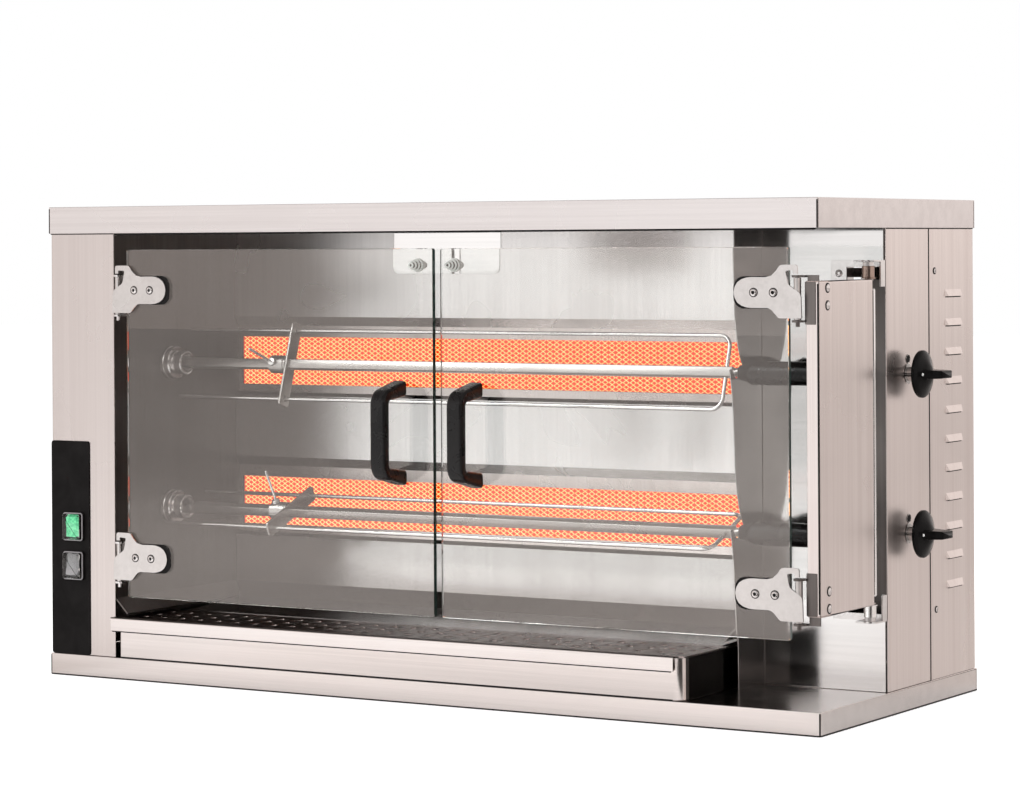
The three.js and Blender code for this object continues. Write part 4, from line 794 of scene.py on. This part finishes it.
def spit(level):
    """Square bar with eased corners, its turned journal, and the fork, one wire bent round over its end."""
    origin, along, back, up = spit_frame(level)
    low, high = corners_of(f"{level}_spit")
    plate = corners_of("spit_support_plate")[1][0]
    body, half = f"{level}_spit_body", 6
    outline = rounded_box((-half, -half), (half, half), 1.2, 4)
    bar = slab(outline, soft_edge(low[0], plate - 3.5, 0.8), origin, along, back)
    end = high[0]
    profile = [(0, plate - 9.5), (5.8, plate - 9.5), (5.8, plate - 2.6), (5.0, plate - 2.2),
               (5.0, plate + 0.6), (5.8, plate + 1.0), (5.8, end - 0.5), (5.3, end), (0, end)]
    piece(f"{level}_spit_bar", [bar, lathe(profile, origin, along, 40)], "spit_steel", body,
          [f"{level}_spit"], 30)
    spread, tip, bend = 45, low[0] + 22, plate - 14
    corners = [origin + along * x + up * z
               for x, z in ((tip, spread), (bend, spread), (bend, -spread), (tip, -spread))]
    fork = sweep(bent_path(corners, 14, 12), 2.5, back, 20)
    piece(f"{level}_spit_fork", [fork], "wire_steel", body, [f"{level}_spit"], 40)


def spit_clamp(level):
    """Fork clamp: a rounded blade across the fork and the collar that slides on the bar."""
    origin, along, back, up = spit_frame(level)
    low, high = corners_of(f"{level}_spit_clamp")
    outline = rounded_box((-10, -54.5), (10, 54.5), 4, 8)
    blade = slab(outline, soft_edge(high[0] - 3, high[0], 0.5), origin, along, back)
    start, end = low[0], high[0] - 2.6
    collar = ring(origin, along, 48, (6.8, start), (10.3, start), (11.5, start + 1.2), (11.5, end - 4.0),
                  (10.7, end - 3.2), (10.7, end - 2.0), (11.5, end - 1.2), (11.5, end), (6.8, end))
    sockets = [ring(origin + along * high[0] + up * away, along, 24, (3.0, 0), (4.4, 0), (4.4, 0.8),
                    (4.0, 1.2), (3.0, 1.2)) for away in (-45, 45)]
    piece(f"{level}_clamp_fork", [blade, collar, *sockets], "spit_steel", f"{level}_clamp_body",
          [f"{level}_spit_clamp"], 30)


def thumb_screw(level):
    """Thumb screw of bent rod: shank and boss turned about the screw's axis, then a straight bent handle."""
    _, along, back, up = spit_frame(level)
    place, out = PIVOT[f"{level}_thumb_screw_turn"], -back
    boss = lathe([(0, 6.3), (3.0, 6.3), (3.0, 11.8), (4.6, 11.8), (5.2, 12.4), (5.2, 15.0), (4.6, 15.7),
                  (1.8, 16.0), (0, 16.0)], place, out, 28)
    reach = out * 51.8 - along * 9 + up * 6
    path = bent_path([place + out * 13.8, place + out * 19.8, place + reach], 4)
    piece(f"{level}_thumb_screw_rod", [boss, sweep(path, 1.7, np.cross(out, reach), 14)], "wire_steel",
          f"{level}_screw_body", [f"{level}_thumb_screw"])


def drive_socket(level):
    """Grooved drive disc and its hollow hub, turned about the spit's axis."""
    origin, along, _, _ = spit_frame(level)
    low, high = corners_of(f"{level}_drive_socket")
    start = high[0] - 30
    shaft = low[0] - start
    profile = [(0, shaft), (5, shaft), (5, 0), (20.2, 0), (21.2, 1), (21.2, 5.5), (20.3, 6.2), (20.3, 7.8),
               (21.2, 8.5), (21.2, 13.6), (20.0, 15), (15.2, 15), (14.4, 15.7), (14.4, 17.4), (15.5, 18.1),
               (15.5, 28.6), (14.9, 29.7), (14.2, 30), (12.2, 30), (11.6, 29.4), (11.5, 22.2), (0, 22)]
    piece(f"{level}_drive_disc", [lathe(profile, origin + along * start, along, 64)], "bright_steel",
          f"{level}_spit_body", [f"{level}_drive_socket"], 28)


def spit_handle(level):
    """Turned black handle: a slim neck that swells to the grip and closes in a rounded end."""
    origin, along, _, _ = spit_frame(level)
    low, high = corners_of(f"{level}_spit_handle")
    end = high[0] - low[0]
    share, angle = np.linspace(0, 1, 9), np.linspace(0, np.pi / 2, 6)
    swell = np.stack([9 + 5 * np.sin(share * np.pi / 2) ** 2, 1.5 + 18 * share], 1)
    dome = np.stack([14 - 3 * (1 - np.cos(angle)), end - 3 + 3 * np.sin(angle)], 1)
    grip = ring(origin + along * low[0], along, 48, (6.25, 0), (8.4, 0), *swell, *dome, (0, end), (0, 20),
                (6.25, 20))
    piece(f"{level}_handle_grip", [grip], "gloss_black", f"{level}_spit_body",
          [f"{level}_spit_handle"])


# ---------------- swing arm and covers
def arm_fittings():
    """The swing arm's rivets with dark rings that paint their shadow, rolled edge, a dark line that paints the
    shade down its front corner, hinge leaves in the dark steel that paints their shade, and each pivot's screw and
    bush.
    """
    low, high = corners_of("swing_arm")
    pivot = PIVOT["arm_pivot"]

    def along_arm(x, y, *insets):
        return [(x, y, z) for z in (*(low[2] + inset for inset in insets),
                                    *(high[2] - inset for inset in reversed(insets)))]

    spots = along_arm(high[0], low[1] + 20.7, 8, 27.7)
    piece("arm_rivets", [rivet_head(spot, RIGHT, 4.8, 2.0) for spot in spots], "bright_steel", "arm",
          crease=40)
    # Painted shadow: dark rings round the rivets.
    shadow_rings = [ring(spot, RIGHT, 24, (4.4, 0), (5.8, 0), (5.8, 0.3), (4.4, 0.7)) for spot in spots]
    piece("arm_rivet_shadows", shadow_rings, "pad_rubber", "arm")
    edge = sweep(along_arm(high[0] - 1.2, pivot[1] - 10.7, 12.5, 100), 2.6, BACK, 20)
    piece("arm_rolled_edge", [edge], "wire_steel", "arm", crease=40)
    # Painted shade: a dark line down the arm's front corner.
    corner_shadow = sweep(along_arm(high[0] - 2.2, low[1] + 0.2, 4, 100), 1.0, BACK)
    piece("arm_corner_shadow", [corner_shadow], "pad_rubber", "arm", crease=40)
    tall = 48
    leaf = rounded_box((low[0] + 1, 0), (high[0] - 4.6, tall), 1, 4)
    leaves = [slab(leaf, soft_edge(0, 0.6, 0.3), (0, low[1] - 0.7, z), BACK, RIGHT)
              for z in (low[2] + 1 + tall, high[2] - 1)]
    # The leaves take the dark steel that paints their shade.
    piece("arm_hinge_leaves", leaves, "wall_steel", "arm")
    face = corners_of("recess_panel")[0][1] - 2.3
    for level, end, way, finish in (("upper", high[2], 1, "bush_bronze"),
                                    ("lower", low[2], -1, "wire_steel")):
        box = corners_of(f"{level}_arm_bracket")
        screw = screw_head((box[0][0] + 10, face, (box[0][2] + box[1][2]) / 2), FRONT, 4.5, 2.0)
        piece(f"{level}_bracket_screw", [screw], "bright_steel", "cabinet")
        bush = ring((*pivot[:2], end), (0, 0, way), 32, (6.6, 0.6), (8.6, 0.6), (8.6, 1.8), (7.4, 2.2),
                    (7.4, 15.0), (6.6, 15.4))
        piece(f"{level}_pivot_bush", [bush], finish, "cabinet")


def panel_screws():
    """Small pan-head screws that hold the side cover and the rear cover, with dark rings that paint the shadow
    round the side cover's.
    """
    low, high = corners_of("side_cover")
    spots = [(PANEL_FACE, low[1] + 16.4, z) for z in (low[2] + 83.2, high[2] - 83.8)]
    heads = [screw_head(spot, RIGHT, 3.4, 1.3) for spot in spots]
    piece("side_cover_screws", heads, "bright_steel", "cabinet")
    # Painted shadow: dark rings round the side cover's screws.
    shadow_rings = [ring(spot, RIGHT, 24, (2.6, 0), (4.2, 0), (4.2, 0.5), (2.6, 0.9)) for spot in spots]
    piece("side_cover_screw_shadows", shadow_rings, "pad_rubber", "cabinet")
    low, high = corners_of("rear_cover")
    inset = 12
    across = np.linspace(low[0] + inset, high[0] - inset, 6)
    up = np.linspace(low[2] + inset, high[2] - inset, 4)
    spots = [(x, high[1], z) for x in across for z in up if x in across[[0, -1]] or z in up[[0, -1]]]
    back = [screw_head(spot, BACK, 3.4, 1.3) for spot in spots]
    piece("rear_cover_screws", back, "bright_steel", "cabinet")


def louvre_shadows():
    """A dark line under each louvre that paints the shadow beneath its lip, which is one row of the side cover's
    outermost corners.
    """
    vertices = frame["nodes"]["side_cover"].data.vertices
    corners = np.empty(3 * len(vertices))
    vertices.foreach_get("co", corners)
    corners = corners.reshape(-1, 3) / MM
    reach, near = corners[:, 0].max(), 0.2
    lips = corners[corners[:, 0] > reach - near]
    shadow_lines = []
    for height in np.unique(lips[:, 2].round(1)):
        y = lips[np.abs(lips[:, 2] - height) < near][:, 1]
        x, z = PANEL_FACE + 0.3 * (reach - PANEL_FACE), height - 0.8
        shadow_lines.append(sweep(straight((x, y.min() + 2 * near, z), (x, y.max() - 2 * near, z)), 0.7, UP, 8))
    # Painted shadow under each louvre's lip.
    piece("louvre_shadows", shadow_lines, "pad_rubber", "cabinet", crease=40)


def seam_shadow_beads():
    """Dark beads that paint the shadow in the sheets' joints, round the foot and down the front corners of hood
    and base.
    """
    hood, base = corners_of("hood"), corners_of("base_tray")
    housing, cover, panel = corners_of("left_housing"), corners_of("side_cover"), corners_of("knob_panel")
    head, foot, side, inset = hood[0][2] - 0.3, 1, PANEL_FACE + 0.5, 1
    joint, front = (panel[1][1] + cover[0][1]) / 2, housing[0][1] - 0.5
    lip, flank = base[0][1] - 0.1, base[1][0] + 0.1
    lines = [((side, panel[0][1] + inset, head), (side, cover[1][1] - inset, head)),
             ((housing[0][0] + inset, front, head), (housing[1][0] - inset, front, head)),
             ((side - 0.7, joint, cover[0][2] + inset), (side - 0.7, joint, cover[1][2] - inset)),
             ((base[0][0] + 2, lip, foot), (base[1][0] - 2, lip, foot)),
             ((flank, base[0][1] + 2, foot), (flank, base[1][1] - 2, foot))]
    for (low, high), gap in ((hood, 3), (base, 2)):
        y = low[1] + 0.4
        lines += [((x, y, low[2] + inset), (x, y, high[2] - gap)) for x in (low[0] + 0.8, high[0] - 0.8)]
    # Painted shadow in the joints.
    beads = [sweep(straight(*line), 0.9, (0.6, 0.8, 0.1), 10) for line in lines]
    piece("seam_shadow_beads", beads, "pad_rubber", "cabinet", crease=40)


def strip(name, low, high, material, body):
    """A thin bar that fills the box from low to high."""
    outline = rounded_box(low[1:], high[1:], 0.2, 3)
    bar = slab(outline, soft_edge(low[0], high[0], 0.2), (0, 0, 0), RIGHT, BACK)
    piece(name, [bar], material, body)


def strips():
    """Painted shade: a dark sheet behind the recess panel's window, a dark strip over the doors under the hood's
    lip, and dark lines under the tray's lip and along its foot.
    """
    hood, base, tray = corners_of("hood"), corners_of("base_tray"), corners_of("drip_tray")
    side, housing = PANEL_FACE, corners_of("left_housing")[1][0]
    head, window = hood[0][2] - 0.3, corners_of("recess_panel")[0][1] + 25
    # Painted shade: a dark sheet behind the window.
    strip("window_shade_sheet", (side - 52, window, base[0][2] + 100),
          (side - 2, window + 1.2, head - 60), "wall_steel", "cabinet")
    # Painted shadow under the hood's front lip.
    strip("door_head_shadow", (housing + 1, hood[0][1] + 1.8, head - 1.8),
          (side - 2, hood[0][1] + 3.2, head + 6), "pad_rubber", "cabinet")
    # Painted shadows under the tray's lip and along its foot.
    y, z = tray[0][1] + 0.8, tray[1][2] - 17.5
    lip_shadow = sweep(straight((tray[0][0] + 3, y, z), (tray[1][0] - 14.5, y, z)), 0.7, UP, 10)
    piece("tray_lip_shadow", [lip_shadow], "pad_rubber", "tray", crease=40)
    strip("tray_foot_shadow", (tray[0][0] + 14, tray[0][1] + 3.6, tray[0][2]),
          (tray[1][0] - 14, tray[0][1] + 4.1, tray[0][2] + 1.6), "pad_rubber", "tray")


# ---------------- switches
def switch_boot(level):
    """Clear boot over a rocker, with a soft frame round its foot."""
    low, high = corners_of(f"{level}_switch_housing")
    middle, half, foot = ((low + high) / 2)[[0, 2]], ((high - low) / 2)[[0, 2]], -low[1]
    inner, outer = half - 1.2, half - 0.8
    profile = [(0, foot), (0.6, foot + 4), (1.4, foot + 5.6), (3.4, foot + 6.4)]
    boot = slab(rounded_box(-inner, inner, 3), profile, (middle[0], 0, middle[1]), FRONT, RIGHT)
    piece(f"{level}_switch_boot", [boot], "clear_boot", "cabinet", crease=50)
    path = middle + rounded_box(-outer, outer, 3)
    line = np.insert(path, 1, low[1] - 0.4, axis=1)
    rim = sweep(np.vstack([line, line[:1]]), 0.9, BACK, 10, ends=False)
    piece(f"{level}_switch_frame", [rim], "rocker_grey", "cabinet", crease=50)


# ---------------- drip grids
def drip_grid(side):
    """Perforated plate: each cell is a square that runs in to a round hole, whose lip turns down."""
    node = f"{side}_drip_grid"
    low, high = corners_of(node)
    pitch, radius, thick, rows, columns = 28.5, 4.1, 1.5, 3, 24
    cells = int((high[0] - low[0] - pitch) / pitch) + 1

    def holes(start, end, count):
        middle = (start + end) / 2 + (np.arange(count) - (count - 1) / 2) * pitch
        return middle, np.array([start, *(middle[1:] + middle[:-1]) / 2, end])

    (x, x_edge), (y, y_edge) = holes(low[0], high[0], cells), holes(low[1], high[1], rows)
    cell, row = np.indices((cells, rows)).reshape(2, -1)
    middle = np.stack([x[cell], y[row]], 1)[:, None]
    nearest = np.stack([x_edge[cell], y_edge[row]], 1)[:, None]
    farthest = np.stack([x_edge[cell + 1], y_edge[row + 1]], 1)[:, None]
    turn = np.linspace(0, 2 * np.pi, columns, endpoint=False) + np.pi / 4
    wave = np.stack([np.cos(turn), np.sin(turn)], 1)
    square = wave / np.abs(wave).max(1)[:, None]
    border = middle + square * np.where(square > 0, farthest - middle, middle - nearest)
    top, bottom = high[2], high[2] - thick
    levels = [(middle + wave * (radius + wider), top - lower)
              for wider, lower in ((1.2, 0), (0.4, 0.3), (0, 1), (0, thick))]
    levels = [(border, top), *levels, (border, bottom)]
    points = np.stack([np.insert(flat, 2, height, axis=-1) for flat, height in levels], 1)
    plate = copies(points, span_faces(len(levels), columns))
    skirt, walls, _ = slab(rounded_box(low, high, 0.2, 2), [(0, bottom), (0, top)], (0, 0, 0), UP, RIGHT)
    outer = low[0] + 1.8 if side == "left" else high[0] - 3.3
    lip = rounded_box((outer, low[1] + 14), (outer + 1.5, high[1] - 2), 0.6, 3)
    fold = slab(lip, [(0.4, low[2]), (0, low[2] + 0.5), (0, bottom)], (0, 0, 0), UP, RIGHT)
    piece(f"{side}_drip_plate", [plate, (skirt, walls), fold], "grid_steel", "tray",
          [node], 30)


for node in SHEET_NODES:
    softened(node, 2.2, 0.27, 3)
# Painted shade: the drip tray's right-facing faces near black and its top faces dark.
shade_faces("drip_tray", RIGHT, "shaded_steel")
shade_faces("drip_tray", UP, "wall_steel")
for node in TRAY_NODES:
    softened(node, 0.7)
softened("latch_plate", 0.4)
for bracket in BRACKETS:
    for level in LEVELS:
        softened(f"{level}_{bracket}", 0.4)
for side in SIDES:
    for build in (door_handle, door_glass, bumper, drip_grid):
        build(side)
for level in LEVELS:
    for build in (knob, knob_fittings, burner_mesh, spit, spit_clamp, thumb_screw, drive_socket, spit_handle,
                  switch_boot):
        build(level)
    for side in SIDES:
        hinge_fittings(level, side)
for build in (arm_fittings, panel_screws, louvre_shadows, seam_shadow_beads, strips):
    build()

scene.view_settings.view_transform = "Standard"
